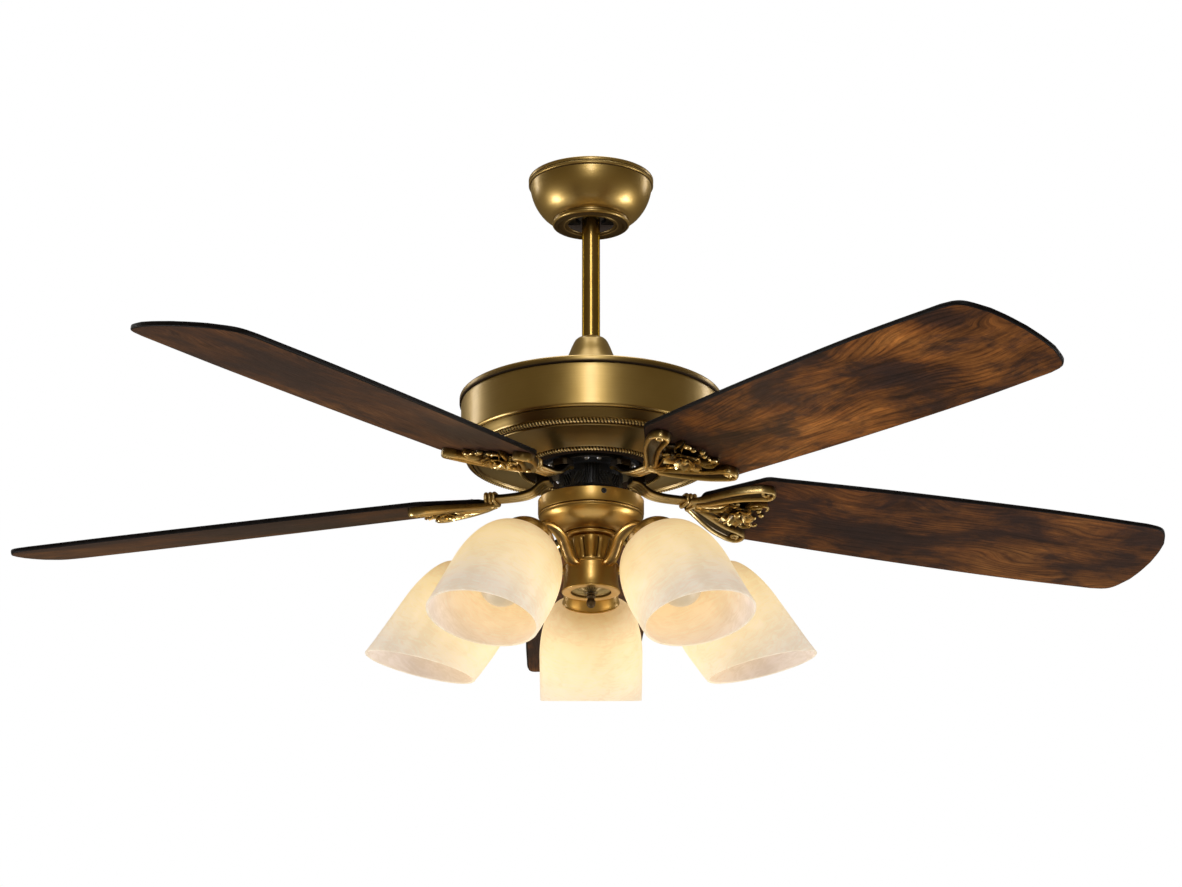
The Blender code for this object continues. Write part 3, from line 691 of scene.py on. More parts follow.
def flywheel():
    """The black casting that carries the irons: upright ribs midway between blades, slots beside them."""
    step_top = np.linspace(0.0190, -0.0030, 18)
    head = [(0.0136, 0.0359), (0.0495, 0.0359), (0.0510, 0.0354), (0.0518, 0.0342), (0.0518, 0.0205)]
    head += [(0.0510, 0.0197), (0.0355, 0.0196), (0.0342, 0.0193)]
    block = np.stack([np.full(18, FLYWHEEL_BLOCK), step_top], 1)
    foot = [(0.0330, -0.0045), (0.0312, -0.0060), (0.0290, -0.0064), (0.0136, -0.0064)]
    profile = lathe_profile(head, block, foot)
    points, faces, wear_and_shade = lathe(profile, 1080, True)
    middle = BLADE_FIRST + BLADE_STEP / 2
    flat, swing = polar(points)
    off = (swing - middle + BLADE_STEP / 2) % BLADE_STEP - BLADE_STEP / 2
    arc_mm = 1000 * FLYWHEEL_BLOCK * off
    height_mm = 1000 * points[:, 2]
    ribs = np.clip(np.cos(arc_mm * WHOLE_TURN / 2.9) * 1.6, -1, 1)
    fan = abs(arc_mm) - 9.0 + 0.55 * (height_mm - 16)
    slots = np.clip(np.cos(fan * WHOLE_TURN / 3.8) * 1.8, -1, 1)
    in_block = (points[:, 2] < 0.0185) & (points[:, 2] > -0.0022) & (flat > 0.033)
    pattern = np.where(abs(arc_mm) < 7.2, ribs, np.where((abs(arc_mm) < 19) & (height_mm < 11), slots, 1.0))
    depth = np.where(in_block, (1 - pattern) * 0.00065, 0.0)
    points[:, :2] *= ((flat - depth) / np.maximum(flat, 1e-6))[:, None]
    # The grooves between ribs and the slots are darkened as painted shade.
    wear_and_shade = np.where(in_block, 0.25 + 0.75 * (pattern > 0), 1.0)
    casting = points, faces, wear_and_shade
    piece("flywheel_casting", casting, LOOKS["black_metal"], "rotor", "flywheel")
    screws = []
    for number in range(BLADE_COUNT):
        for lean in (-1, 1):
            turn = middle + number * BLADE_STEP + lean * math.radians(7.6) + math.radians(1.2)
            place = Matrix.Rotation(turn, 4, "Z") @ Matrix.Translation((0.0484, 0, 0.0194))
            screws.append(moved(screw_head(0.0026, 0.0018), place @ Matrix.Rotation(math.pi, 4, "X")))
    piece("flywheel_screws", joined(*screws), LOOKS["steel"], "rotor")


# Motor housing


def housing():
    """The top plate and drum, then the base under them."""
    top = [(0.0092, 0.1158), (0.0092, 0.1168), (0.0098, 0.1170), (0.0440, 0.1170), (0.0456, 0.1166)]
    top += [(0.0466, 0.1158), (0.0480, 0.1156)]
    slope = [(0.0490, 0.1156), (0.0700, 0.1136), (0.1050, 0.1077), (0.1340, 0.1020), (0.1380, 0.1010)]
    slope = through(slope, 8)
    rim = lathe_profile(arc((0.1380, 0.0988), (0.0022, 0.0022), 75, 0, 6), (0.1402, 0.0940), (0.1398, 0.0932))
    inside = [(0.1390, 0.0932), (0.1390, 0.0980), (0.1370, 0.1000), (0.1050, 0.1062), (0.0700, 0.1120)]
    inside += [(0.0460, 0.1150)]
    profile = lathe_profile(top, slope, rim, inside)
    wear_and_shade = np.ones(len(profile))
    # The step round the raised centre and the whole inside are darkened as painted shade.
    wear_and_shade[5:8] = 0.3
    wear_and_shade[ends(top, slope, rim)[-1] - 2 :] = 0.0
    turned("housing_top_shell", profile, 192, "brass", "housing_top", wear_and_shade)
    wall = np.stack([np.full(10, 0.1384), np.linspace(0.0925, 0.0510, 10)], 1)
    foot = arc((0.1350, 0.0496), (0.0034, 0.0034), 0, -90, 10)
    drum = lathe_profile((0.1376, 0.0960), (0.1382, 0.0957), (0.1382, 0.0935), wall, foot)
    inside = [(0.1350, 0.0474), (0.1368, 0.0484), (0.1372, 0.0500), (0.1372, 0.0955)]
    wear_and_shade = np.ones(len(drum) + len(inside))
    # The top edge under the rim of the top, the bottom edge and the inside are darkened as painted shade.
    wear_and_shade[:3] = 0.2
    wear_and_shade[-5:] = 0.2
    drum = lathe_profile(drum, inside)
    turned("housing_drum_shell", drum, 192, "brass", "housing_drum", wear_and_shade)
    housing_base()


def housing_base():
    """The stepped base with its cove and two rope rings."""
    neck = [(0.1350, 0.0458), (0.1352, 0.0452)]
    waist = [(0.1350, 0.0446), (0.1336, 0.0418), (0.1322, 0.0392), (0.1310, 0.0370), (0.1300, 0.0358)]
    waist = through(waist, 5)
    seat = [(0.1296, 0.0348), (0.1294, 0.0334), (0.1284, 0.0324), (0.1266, 0.0318)]
    line = lathe_profile((0.1258, 0.0312), bead(0.1243, 0.0308, 0.0013, 40, -150, 9), (0.1226, 0.0314))
    cove = through(
        [(0.1222, 0.0320), (0.1120, 0.0316), (0.0980, 0.0294), (0.0870, 0.0263), (0.0800, 0.0236),
         (0.0776, 0.0224)]
    )
    mouth = [(0.0762, 0.0226), (0.0735, 0.0218), (0.0725, 0.0210), (0.0715, 0.0208), (0.0690, 0.0212)]
    mouth += [(0.0590, 0.0215), (0.0578, 0.0218), (0.0575, 0.0224), (0.0580, 0.0228)]
    inside = [(0.0700, 0.0226), (0.0770, 0.0240), (0.0870, 0.0276), (0.1000, 0.0310), (0.1220, 0.0334)]
    inside += [(0.1272, 0.0338), (0.1280, 0.0356), (0.1300, 0.0392), (0.1330, 0.0452)]
    profile = lathe_profile(neck, waist, seat, line, cove, mouth, inside)
    _, waist_end, seat_end, line_end, cove_end = ends(neck, waist, seat, line, cove)
    wear_and_shade = np.ones(len(profile))
    # Darkened as painted shade: the seat under the outer rope, the bead's edge, the cove's end and the whole
    # mouth and inside.
    wear_and_shade[waist_end:seat_end] = 0.1
    wear_and_shade[seat_end] = 0.2
    wear_and_shade[line_end - 1] = 0.35
    wear_and_shade[cove_end : cove_end + 2] = 0.3
    wear_and_shade[cove_end + 2 :] = 0.0
    turned("housing_base_shell", profile, 192, "shaded_base_brass", "housing_base", wear_and_shade)
    piece("housing_rope_outer", rope(0.1304, 0.0327, 0.0026, 228), LOOKS["cast"], "hanging")
    piece("housing_rope_inner", rope(0.0748, 0.0209, 0.0024, 140), LOOKS["cast"], "hanging")


# Blades


def level_place(number):
    return at_height(0) @ Matrix.Rotation(BLADE_FIRST + number * BLADE_STEP, 4, "Z")


def blade_place(number):
    return level_place(number) @ Matrix.Rotation(BLADE_DROOP, 4, "Y") @ Matrix.Rotation(-BLADE_PITCH, 4, "X")


def blade_outline():
    """One blade seen flat: narrow root, chamfers to the shoulders, widest near the tip, round corners."""
    shoulder = arc((0.1815, 0.0470), (0.0160, 0.0160), 140, 94, 7)
    side = [(0.1900, 0.0632), (0.2600, 0.0668), (0.3600, 0.0708), (0.5050, 0.0739), (0.6200, 0.0720)]
    side = through(side, 6)
    corner = [(0.6330, 0.0701), (0.6396, 0.0675), (0.6446, 0.0631), (0.6482, 0.0573), (0.6508, 0.0516)]
    corner = through(corner, 5)
    tip = through([(0.6552, 0.0414), (0.6584, 0.0230), (SWEEP_RADIUS, 0.0)], 4)
    root = [(0.1200, 0), (0.1200, 0.0120), (0.1215, 0.0165), (0.1260, 0.0200)]
    upper = np.vstack([root, shoulder, side, corner, tip])
    lower = upper[-2:0:-1] * (1, -1)
    return np.vstack([upper, lower])


def inset(outline, distance):
    """The closed outline moved inwards."""
    ahead = np.roll(outline, -1, 0) - np.roll(outline, 1, 0)
    ahead /= np.linalg.norm(ahead, axis=1)[:, None]
    area = np.sum(outline[:, 0] * np.roll(outline[:, 1], -1) - np.roll(outline[:, 0], -1) * outline[:, 1])
    normal = np.stack([-ahead[:, 1], ahead[:, 0]], 1) * np.sign(area)
    return outline + distance * normal


def blade_form():
    """A board with rounded, painted edges; the faces carry the print."""
    outline = blade_outline() + (0, BLADE_OFFSET)
    half, rounding = BLADE_THICKNESS / 2, 0.0014
    turns = np.radians(np.linspace(90, -90, 9))
    loops = []
    for turn in turns:
        level = math.copysign(half - rounding, math.sin(turn)) if abs(turn) > 0.01 else 0.0
        loop = inset(outline, rounding * (1 - math.cos(turn)))
        height = level + rounding * math.sin(turn)
        loops.append(np.column_stack([loop, np.full(len(loop), height)]))
    points, faces, wear_and_shade = grid(loops, wrap_cols=True, cap=True)
    face_looks = [1] * (len(faces) - 2) + [0, 0]
    return (points, faces, wear_and_shade), face_looks


def blades():
    form, face_looks = blade_form()
    # Each blade's brightness and greying paint how the lamps fall on it: painted light and painted shade.
    painted_light_per_blade = ((0.9, 0.25), (0.90, 0.35), (0.90, 0.62), (0.90, 0.62), (1.2, 0.0))
    for number in range(BLADE_COUNT):
        label = str(number + 1)
        print_look = walnut("walnut_" + label, 3.1 * number + 1.7, *painted_light_per_blade[number])
        piece(
            "blade_board_" + label, form, [print_look, LOOKS["edge"]], "rotor", "blade_" + label,
            blade_place(number), face_looks, sharp=60,
        )
        heads = []
        for x, y in ((0.1340, 0.0), (0.1880, 0.0300), (0.1880, -0.0360)):
            heads.append(moved(screw_head(0.0045, 0.0022), Matrix.Translation((x, y, BLADE_THICKNESS / 2))))
        piece(
            "blade_screws_" + label, joined(*heads), LOOKS["steel"], "rotor",
            place=blade_place(number),
        )


# Blade irons


def iron_neck():
    """Three round strands side by side, from the flywheel down to the collar, with three wraps over them."""
    spine = through(
        [(0.0440, 0.0122), (0.0500, 0.0116), (0.0550, 0.0090), (0.0590, 0.0056), (0.0640, 0.0024),
         (0.0710, 0.0001), (0.0800, -0.0012), (0.0950, -0.0017), (0.1165, -0.0015)], 8,
    )
    forms = []
    for offset in (-STRAND_GAP, 0.0, STRAND_GAP):
        path = np.stack([spine[:, 0], np.full(len(spine), offset), spine[:, 1]], 1)
        section = circle(STRAND, 20, 1.15)
        # Each strand is bright along its downward crest and dark towards its top: painted highlight and
        # painted shade.
        painted_crest_light = 0.10 + 0.90 * np.clip(section[:, 1] / STRAND * 1.5 - 0.15, 0, 1)
        forms.append(sweep(path, section, (0, 1, 0), wear_and_shade=painted_crest_light[None]))
    path = np.stack([spine[:, 0], np.zeros(len(spine)), spine[:, 1]], 1)
    # A dark web behind the strands paints the shade between them.
    web = [(-0.0070, -0.0012), (-0.0070, 0.0002), (0.0070, 0.0002), (0.0070, -0.0012)]
    forms.append(sweep(path, web, (0, 1, 0), wear_and_shade=0.0))
    corners = circle(1.0, 32)
    squared = np.sign(corners) * abs(corners) ** 0.55
    for x in (0.1052, 0.1098, 0.1144):
        loop = np.stack([np.full(32, x), squared[:, 0] * 0.0103, squared[:, 1] * 0.0053 - 0.0017], 1)
        section = circle(0.0019, 12)
        forms.append(sweep(loop, section, (1, 0, 0), wrap=True, wear_and_shade=0.95))
    # The mounting pad is kept dark: patina and painted shade under the flywheel's rim.
    pad = [(0.0448, -0.0085), (0.0448, 0.0085), (0.0575, 0.0092), (0.0600, 0.0060), (0.0600, -0.0060)]
    pad += [(0.0575, -0.0092)]
    base = np.array([(x, y, 0.0186) for x, y in pad])
    forms.append(grid([base, base - (0, 0, 0.0072)], wrap_cols=True, cap=True, wear_and_shade=0.12))
    return joined(*forms)


TROUGH = [(-1.0, 0.0), (-1.0, 0.55), (-0.97, 0.85), (-0.88, 1.0), (-0.78, 0.92), (-0.66, 0.62), (-0.40, 0.44)]
TROUGH += [(0.0, 0.38)] + [(-u, v) for u, v in TROUGH[::-1]]
# Wear round the trough: bright rims as rubbed brass, a dark floor as patina and painted shade.
TROUGH_WEAR_AND_SHADE = [0.4, 0.75, 1.0, 1.0, 0.85, 0.35, 0.12, 0.08] + [0.12, 0.35, 0.85, 1.0, 1.0, 0.75, 0.4]


def across_of(line):
    """The level direction across each point of a line."""
    heading = np.gradient(line[:, :2], axis=0)
    heading /= np.linalg.norm(heading, axis=1)[:, None]
    return np.column_stack([-heading[:, 1], heading[:, 0], np.zeros(len(line))])


def trough(path, widths, heights):
    """A leaf with raised rims: a trough that opens downwards along a path."""
    shape = np.array(TROUGH)
    count = len(path)
    widths = np.interp(np.linspace(0, 1, count), np.linspace(0, 1, len(widths)), widths)
    heights = np.interp(np.linspace(0, 1, count), np.linspace(0, 1, len(heights)), heights)
    section = np.stack([shape[None, :, 0] * widths[:, None] / 2, shape[None, :, 1] * heights[:, None]], -1)
    return sweep(path, section, across_of(path), wear_and_shade=np.array(TROUGH_WEAR_AND_SHADE)[None])


# Each row of a rolled rim: how far in from the outline, its share of the full height, its wear (low on the
# dish's floor: patina and painted shade)
RIM = (
    (0.0, 0.0, 0.3), (0.0, 0.50, 0.5), (0.0003, 0.76, 0.8), (0.0011, 0.94, 1.0), (0.0021, 1.0, 1.0),
    (0.0032, 0.97, 0.95), (0.0041, 0.84, 0.7), (0.0047, 0.62, 0.35), (0.0052, 0.50, 0.2),
    (0.0057, 0.46, 0.22),
)


def scroll_leaf(hand):
    """One scroll of the iron: a long dish with a rolled rim all round; hand is 1 or -1, its side."""
    line = [(0.1110, 0.0040), (0.1240, 0.0125), (0.1400, 0.0250), (0.1570, 0.0365), (0.1740, 0.0440)]
    line = through([*line, (0.1810, 0.0460)], 7)
    across = across_of(line)[:, :2]
    share = np.linspace(0, 1, len(line))
    half = np.interp(share, (0, 0.25, 0.5, 0.8, 1.0), (0.0062, 0.0076, 0.0094, 0.0110, 0.0102))
    left, right = line + across * half[:, None], line - across * half[:, None]
    ahead = np.array([across[-1][1], -across[-1][0]])
    turn = np.radians(np.linspace(78, -78, 11))[:, None]
    end = line[-1] + half[-1] * (np.sin(turn) * across[-1] + np.cos(turn) * ahead * 0.95)
    outline = np.vstack([left, end, right[::-1]])
    run = np.concatenate([share, np.ones(len(turn)), share[::-1]])
    tall = np.interp(run, (0, 0.2, 0.75, 1.0), (0.0050, 0.0068, 0.0084, 0.0092))
    loops = [np.column_stack([inset(outline, move), -tall * level]) for move, level, _ in RIM]
    points, faces, wear_and_shade = grid(loops, wrap_cols=True, cap=True, wear_and_shade=np.array([[w] for _, _, w in RIM]))
    knob = curl_wire((0.1795, 0.0462), 30, 400, 0.0050, 0.35, 0.0016, -0.0040, -0.0074)
    points, faces, wear_and_shade = joined((points, faces, wear_and_shade), knob)
    return points * (1, hand, 1), faces, wear_and_shade


def petal(length, width, rise):
    """A cupped petal along X that stands away from the blade, rubbed bright along its rim, its cupped middle
    darkened as painted shade.
    """
    along = np.linspace(0, 1, 12)
    u = np.linspace(-1, 1, 11)
    half = width / 2 * np.sin(np.pi * (0.10 + 0.80 * along)) ** 0.7
    front = np.stack(
        [
            np.repeat((length * along)[:, None], 11, 1),
            half[:, None] * u[None],
            -(rise * along[:, None] ** 1.4 + 0.0026 * u[None] ** 2 + 0.0008),
        ], -1,
    )
    back = front[:, ::-1] + (0, 0, 0.0014)
    rim = np.clip(abs(u) ** 3 + along[:, None] ** 5, 0, 1)
    wear_and_shade = np.concatenate([0.12 + 0.88 * rim, (0.12 + 0.88 * rim)[:, ::-1]], 1)
    return grid(np.concatenate([front, back], 1), wrap_cols=True, cap=True, wear_and_shade=wear_and_shade)


def curl_wire(centre, start, sweep_angle, radius, shrink, thickness, top=-0.0035, foot=-0.0065):
    """A small tendril that winds in."""
    turn = np.radians(np.linspace(start, start + sweep_angle, 26))
    size = np.linspace(radius, radius * shrink, 26)
    across, along = centre[0] + size * np.cos(turn), centre[1] + size * np.sin(turn)
    path = np.stack([across, along, np.linspace(top, foot, 26)], 1)
    return sweep(path, circle(thickness, 10), (0, 0, 1), wear_and_shade=0.9)


def iron_flower():
    """The flower between the scrolls, with buds, small leaves and tendrils."""
    forms = []
    centre = Vector((0.1640, 0, -0.0020))
    rings = ((5, 0.0190, 0.0165, 0.0050), (4, 0.0115, 0.0120, 0.0082))
    for ring, (count, reach, width, rise) in enumerate(rings):
        for number in range(count):
            turn = math.radians(360 / count * number + 12 + 25 * ring)
            long = reach * (1 + 0.12 * math.sin(2.7 * number))
            place = Matrix.Translation(centre) @ Matrix.Rotation(turn, 4, "Z")
            forms.append(moved(petal(long, width, rise), place))
    profile = lathe_profile((0, 0), arc((0, 0), (0.0048, 0.0050), 0, 90, 7))
    # Buds are dark where they sit and bright at the tip: painted shade and rubbed brass.
    bud = lathe(profile, 20, wear_and_shade=[0.1, 0.1, 0.2, 0.4, 0.6, 0.8, 0.95, 1])
    flip = Matrix.Rotation(math.pi, 4, "X")
    forms.append(moved(bud, Matrix.Translation(centre + Vector((0, 0, -0.0040))) @ flip))
    for x, y, size in ((0.1865, 0.0075, 0.7), (0.1865, -0.0075, 0.7), (0.1480, 0.0, 0.8), (0.1920, 0.0, 0.8)):
        forms.append(moved(bud, Matrix.Translation((x, y, -0.0024)) @ flip @ Matrix.Scale(size, 4)))
    for hand in (-1, 1):
        line = through(
            [(0.1170, hand * 0.0015, 0), (0.1300, hand * 0.0030, 0), (0.1420, hand * 0.0075, 0),
             (0.1500, hand * 0.0150, 0)], 7,
        )
        forms.append(trough(line, [0.0060, 0.0095, 0.0100, 0.0050], [0.0066, 0.0082, 0.0086, 0.0060]))
        line = [(0.1700, hand * 0.0120, 0), (0.1780, hand * 0.0200, 0), (0.1900, hand * 0.0235, 0)]
        line = through(line, 7)
        forms.append(trough(line, [0.0040, 0.0085, 0.0080, 0.0030], [0.0050, 0.0078, 0.0080, 0.0050]))
        forms.append(curl_wire((0.1560, hand * 0.0180), 150 * hand, 320 * hand, 0.0052, 0.40, 0.0014))
        forms.append(curl_wire((0.1900, hand * 0.0170), -120 * hand, -300 * hand, 0.0052, 0.40, 0.0014))
    return joined(*forms)


def iron_back():
    """The thin plate that joins the scrolls behind the flower."""
    edge = [(0.1080, 0.0085), (0.1230, 0.0120), (0.1420, 0.0270), (0.1600, 0.0300), (0.1740, 0.0240)]
    upper = through([*edge, (0.1830, 0.0110)], 4)
    outline = np.vstack([upper, upper[::-1] * (1, -1)])
    top = np.column_stack([outline, np.zeros(len(outline))])
    # Kept dark: patina and painted shade behind the flower.
    return grid([top, top - (0, 0, 0.0022)], wrap_cols=True, cap=True, wear_and_shade=0.1)


def blade_irons():
    neck = iron_neck()
    plate = joined(scroll_leaf(1), scroll_leaf(-1), iron_flower(), iron_back())
    below = Matrix.Translation((0, BLADE_OFFSET / 2, -BLADE_THICKNESS / 2 - 0.0003))
    for number in range(BLADE_COUNT):
        label = str(number + 1)
        tilt = level_place(number).inverted() @ blade_place(number) @ below
        whole = joined(neck, moved(plate, tilt))
        piece(
            "blade_iron_casting_" + label, whole, LOOKS["cast"], "rotor", "blade_iron_" + label,
            level_place(number),
        )


# Light kit


def switch_cup():
    """The cup under the motor, with its three screws."""
    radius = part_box("switch_housing")[1].x
    band = [(radius - 0.0012, -0.0136), (radius - 0.0004, -0.0134), (radius, -0.0139), (radius, -0.0276)]
    band += [(radius - 0.0004, -0.0284), (radius - 0.0016, -0.0288), (radius - 0.0018, -0.0293)]
    bead_line = bead(radius - 0.0012, -0.0303, 0.0009, 60, -90, 7)
    bowl = through(
        [(0.0545, -0.0318), (0.0538, -0.0340), (0.0505, -0.0385), (0.0440, -0.0435), (0.0360, -0.0472),
         (0.0285, -0.0491)]
    )
    foot = [(0.0280, -0.0495), (0.0092, -0.0495), (0.0092, -0.0484)]
    inside = [(0.0285, -0.0480), (0.0360, -0.0461), (0.0432, -0.0424), (0.0494, -0.0378), (0.0540, -0.0300)]
    inside += [(0.0546, -0.0280), (0.0547, -0.0150)]
    profile = lathe_profile(band, bead_line, bowl, foot, inside)
    _, bead_end, _, foot_end = ends(band, bead_line, bowl, foot)
    # Darkened as painted shade: the step under the band, the bead's edges and the inside.
    wear_and_shade = np.ones(len(profile))
    wear_and_shade[5:7] = 0.15
    wear_and_shade[bead_end - 1 : bead_end + 1] = 0.4
    wear_and_shade[foot_end:] = 0.1
    turned("switch_housing_cup", profile, 144, "kit_brass", "switch_housing", wear_and_shade)
    for number in (1, 2, 3):
        low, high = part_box(f"cup_screw_{number}")
        middle = (low + high) / 2
        azimuth = math.atan2(middle.y, middle.x)
        place = around(azimuth, radius + 0.0001, middle.z - BLADE_Z) @ Matrix.Rotation(math.pi / 2, 4, "Y")
        place = place @ Matrix.Rotation(0.4 * number, 4, "Z")
        shank = lathe([(0.0014, 0.0002), (0.0014, -0.0055), (0.0008, -0.0060), (0, -0.0060)], 20)
        screw = joined(screw_head(0.0030, 0.0014), shank)
        piece(
            f"cup_screw_{number}_head", screw, LOOKS["black_metal"], "hanging",
            f"cup_screw_{number}", place,
        )


def fluted(profile, flutes, depth, start, end, steps=288):
    """A turning whose radius dips between round-topped flutes, between two heights."""
    points, faces, wear_and_shade = lathe(profile, steps, True)
    flat, swing = polar(points)
    fade = np.clip((start - points[:, 2]) / 0.002, 0, 1) * np.clip((points[:, 2] - end) / 0.002, 0, 1)
    outer = flat > 0.012
    lobe = abs(np.cos(flutes * (swing + math.pi / 2) / 2)) ** 0.6
    dip = depth * (1 - lobe) * fade * outer
    points[:, :2] *= ((flat - dip) / flat)[:, None]
    # Wear darkens the grooves between flutes as painted shade.
    return points, faces, np.where(outer, 1 - fade * (1 - lobe) ** 1.5 * 0.9, wear_and_shade)


def kit_centre():
    """Collar, fluted stem, arm hub, rosette and finial, one under the other."""
    roll = arc((0.0258, -0.05225), (0.0024, 0.0023), 90, -90, 16)
    collar = lathe_profile((0.0092, -0.0499), (0.0255, -0.0499), roll, (0.0255, -0.0546), (0.0092, -0.0546))
    turned("kit_collar_ring", collar, 112, "kit_brass", "kit_collar")
    waist = [(0.0236, -0.0566), (0.0228, -0.0620), (0.0205, -0.0700), (0.0186, -0.0760), (0.0180, -0.0798)]
    waist = through(waist, 8)
    stem = lathe_profile((0.0092, -0.0550), (0.0215, -0.0550), (0.0218, -0.0556), waist, (0.0184, -0.0812))
    stem = lathe_profile(stem, (0.0196, -0.0815), (0.0196, -0.0819), (0.0092, -0.0819))
    form = fluted(stem, 8, 0.0030, -0.0562, -0.0806)
    piece("fluted_stem_column", form, LOOKS["kit_brass"], "hanging", "fluted_stem")
    crown = [(0.0092, -0.0822), (0.0276, -0.0822), (0.0283, -0.0826), (0.0283, -0.0834), (0.0278, -0.0837)]
    crown += [(0.0278, -0.0840), (0.0289, -0.0843), (0.0292, -0.0849), (0.0288, -0.0856), (0.0286, -0.0860)]
    side = through([(0.0286, -0.0866), (0.0284, -0.0940), (0.0289, -0.1040), (0.0303, -0.1112)], 8)
    foot = arc((0.0300, -0.1128), (0.0009, 0.0009), 30, -90, 7)
    under = [(0.0216, -0.1137), (0.0211, -0.1134), (0.0211, -0.1082), (0.0092, -0.1082)]
    hub = lathe_profile(crown, side, foot, under)
    # The crown's grooves and the recess under the hub are darkened as painted shade.
    wear_and_shade = np.ones(len(hub))
    wear_and_shade[[4, 5, 9]] = 0.15
    wear_and_shade[-3:] = 0.35
    turned("arm_hub_turned", hub, 128, "kit_brass", "arm_hub", wear_and_shade)
    rosette()
    stalk = [(0, -0.1143), (0.0040, -0.1143), (0.0043, -0.1150)]
    knob = [(0.0038, -0.1162), (0.0052, -0.1180), (0.0036, -0.1203), (0.0049, -0.1245), (0.0034, -0.1288)]
    finial = lathe_profile(stalk, through([*knob, (0.0006, -0.1304)], 7), (0, -0.1305))
    finial = lathe(finial, 48, wear_and_shade=np.full(len(finial), 0.3))
    piece("finial_turned", finial, LOOKS["dark_brass"], "hanging", "finial")


def rosette():
    """A dished disc with fine radial ribs."""
    dish = [(0.0206, -0.1098), (0.0207, -0.1114), (0.0180, -0.1124), (0.0140, -0.1133), (0.0080, -0.1139)]
    dish = through(dish, 8)
    profile = lathe_profile((0, -0.1084), (0.0200, -0.1084), dish, (0.0056, -0.1136), (0, -0.1136))
    points, faces, wear_and_shade = lathe(profile, 576)
    flat, swing = polar(points)
    lobe = abs(np.cos(18 * swing)) ** 0.8
    on = (points[:, 2] < -0.1108) & (flat > 0.0065)
    points[:, 2] += np.where(on, (1 - lobe) * 0.0016 * np.clip(flat / 0.016, 0, 1), 0)
    # The grooves between ribs are darkened as painted shade.
    wear_and_shade = np.where(on, 0.05 + 0.80 * lobe**2, 0.3)
    piece("rosette_ribbed", (points, faces, wear_and_shade), LOOKS["cast"], "hanging", "rosette")


# Lamps


def lamp_place(azimuth):
    radius, height = LAMP_NECK
    return around(azimuth, radius, height) @ Matrix.Rotation(-LAMP_TILT, 4, "Y")


def lamp_arm_bar():
    """The arched arm in the upright plane: a web between two round edges."""
    path = through(
        [(0.0275, 0, -0.0880), (0.0330, 0, -0.0872), (0.0385, 0, -0.0840), (0.0440, 0, -0.0760),
         (0.0500, 0, -0.0668), (0.0620, 0, -0.0600), (0.0780, 0, -0.0580), (0.0910, 0, -0.0612),
         (0.1000, 0, -0.0702)], 8,
    )
    edge = [(0.0036, 0.0014), (0.0052, 0.0026), (0.0064, 0.0014), (0.0068, 0.0), (0.0064, -0.0014)]
    edge += [(0.0052, -0.0026), (0.0036, -0.0014)]
    web = 0.0012, 0.0017
    lower = [(web[0], -web[1]), (-web[0], -web[1])]
    upper = [(-web[0], web[1]), web]
    section = np.array(edge + lower + [(-x, y) for x, y in edge[::-1]] + upper)
    # The web between the arm's edges is darkened as painted shade.
    wear_and_shade = np.clip(abs(section[:, 0]) / 0.0052, 0.18, 1.0)
    return sweep(path, section, (0, 1, 0), wear_and_shade=wear_and_shade[None])


def fitter_cup():
    """The cup that holds the shade's neck, with a rolled lip and a nut on top."""
    top = [(0.0092, 0.0289), (0.0100, 0.0285), (0.0104, 0.0276)]
    wall = [(0.0125, 0.0272), (0.0185, 0.0258), (0.0235, 0.0225), (0.0275, 0.0172), (0.0292, 0.0130)]
    wall = through(wall, 6)
    lip = lathe_profile((0.0298, 0.0060), (0.0301, 0.0032), bead(0.0300, 0.0019, 0.0011, 80, -120, 9))
    inside = [(0.0290, 0.0032), (0.0286, 0.0125), (0.0267, 0.0165), (0.0228, 0.0214), (0.0180, 0.0246)]
    inside += [(0.0100, 0.0262)]
    profile = lathe_profile((0, 0.0289), top, wall, lip, inside, (0, 0.0262))
    # The step under the nut and the inside are darkened as painted shade.
    wear_and_shade = np.ones(len(profile))
    wear_and_shade[4] = 0.3
    wear_and_shade[-7:] = 0.2
    return lathe(profile, 72, wear_and_shade=wear_and_shade)


def shade_form():
    """Bell-shaped glass with its own thickness, cut by the rim's slanting plane and rounded there."""
    columns, rows = 112, 44
    angle = np.arange(columns) * WHOLE_TURN / columns
    share = np.linspace(0, 1, rows)[:, None] ** 2

    def surface(shrink, start, lag=0.0):
        end = SHADE_LENGTH + (SHADE_RADIUS - 0.0003 - shrink) * np.cos(angle)[None] * math.tan(RIM_SLANT)
        along = start + (end - start) * share
        swell = np.sin(math.pi / 2 * np.clip((along - lag) / SHADE_CURVE, 0, 1)) ** SHADE_FULLNESS
        lean = 0.0005 * np.clip((along - SHADE_CURVE) / (SHADE_LENGTH - SHADE_CURVE), 0, 1)
        radius = SHADE_NECK + (SHADE_RADIUS - SHADE_NECK) * swell - lean - shrink
        return np.stack([radius * np.cos(angle), radius * np.sin(angle), -along], -1)

    outer = surface(0.0, -0.0078)
    inner = surface(GLASS, -0.0070, 0.0020)
    normal = np.array([math.sin(RIM_SLANT), 0, math.cos(RIM_SLANT)])
    middle = (outer[-1] + inner[-1]) / 2
    out = (outer[-1] - inner[-1]) / 2
    turns = np.radians(np.linspace(15, 165, 9))[:, None, None]
    rim = middle + out * np.cos(turns) - normal * GLASS / 2 * np.sin(turns)
    lift = normal * GLASS / 2
    outer[-1] += lift
    inner[-1] += lift
    rim = rim + lift
    outer[-2] = (outer[-3] + outer[-1]) / 2
    inner[-2] = (inner[-3] + inner[-1]) / 2
    lit = np.concatenate([np.ones(rows + len(rim)), np.zeros(rows)])[:, None]
    return grid(np.concatenate([outer, rim, inner[::-1]]), wrap_rows=True, wrap_cols=True, wear_and_shade=lit)


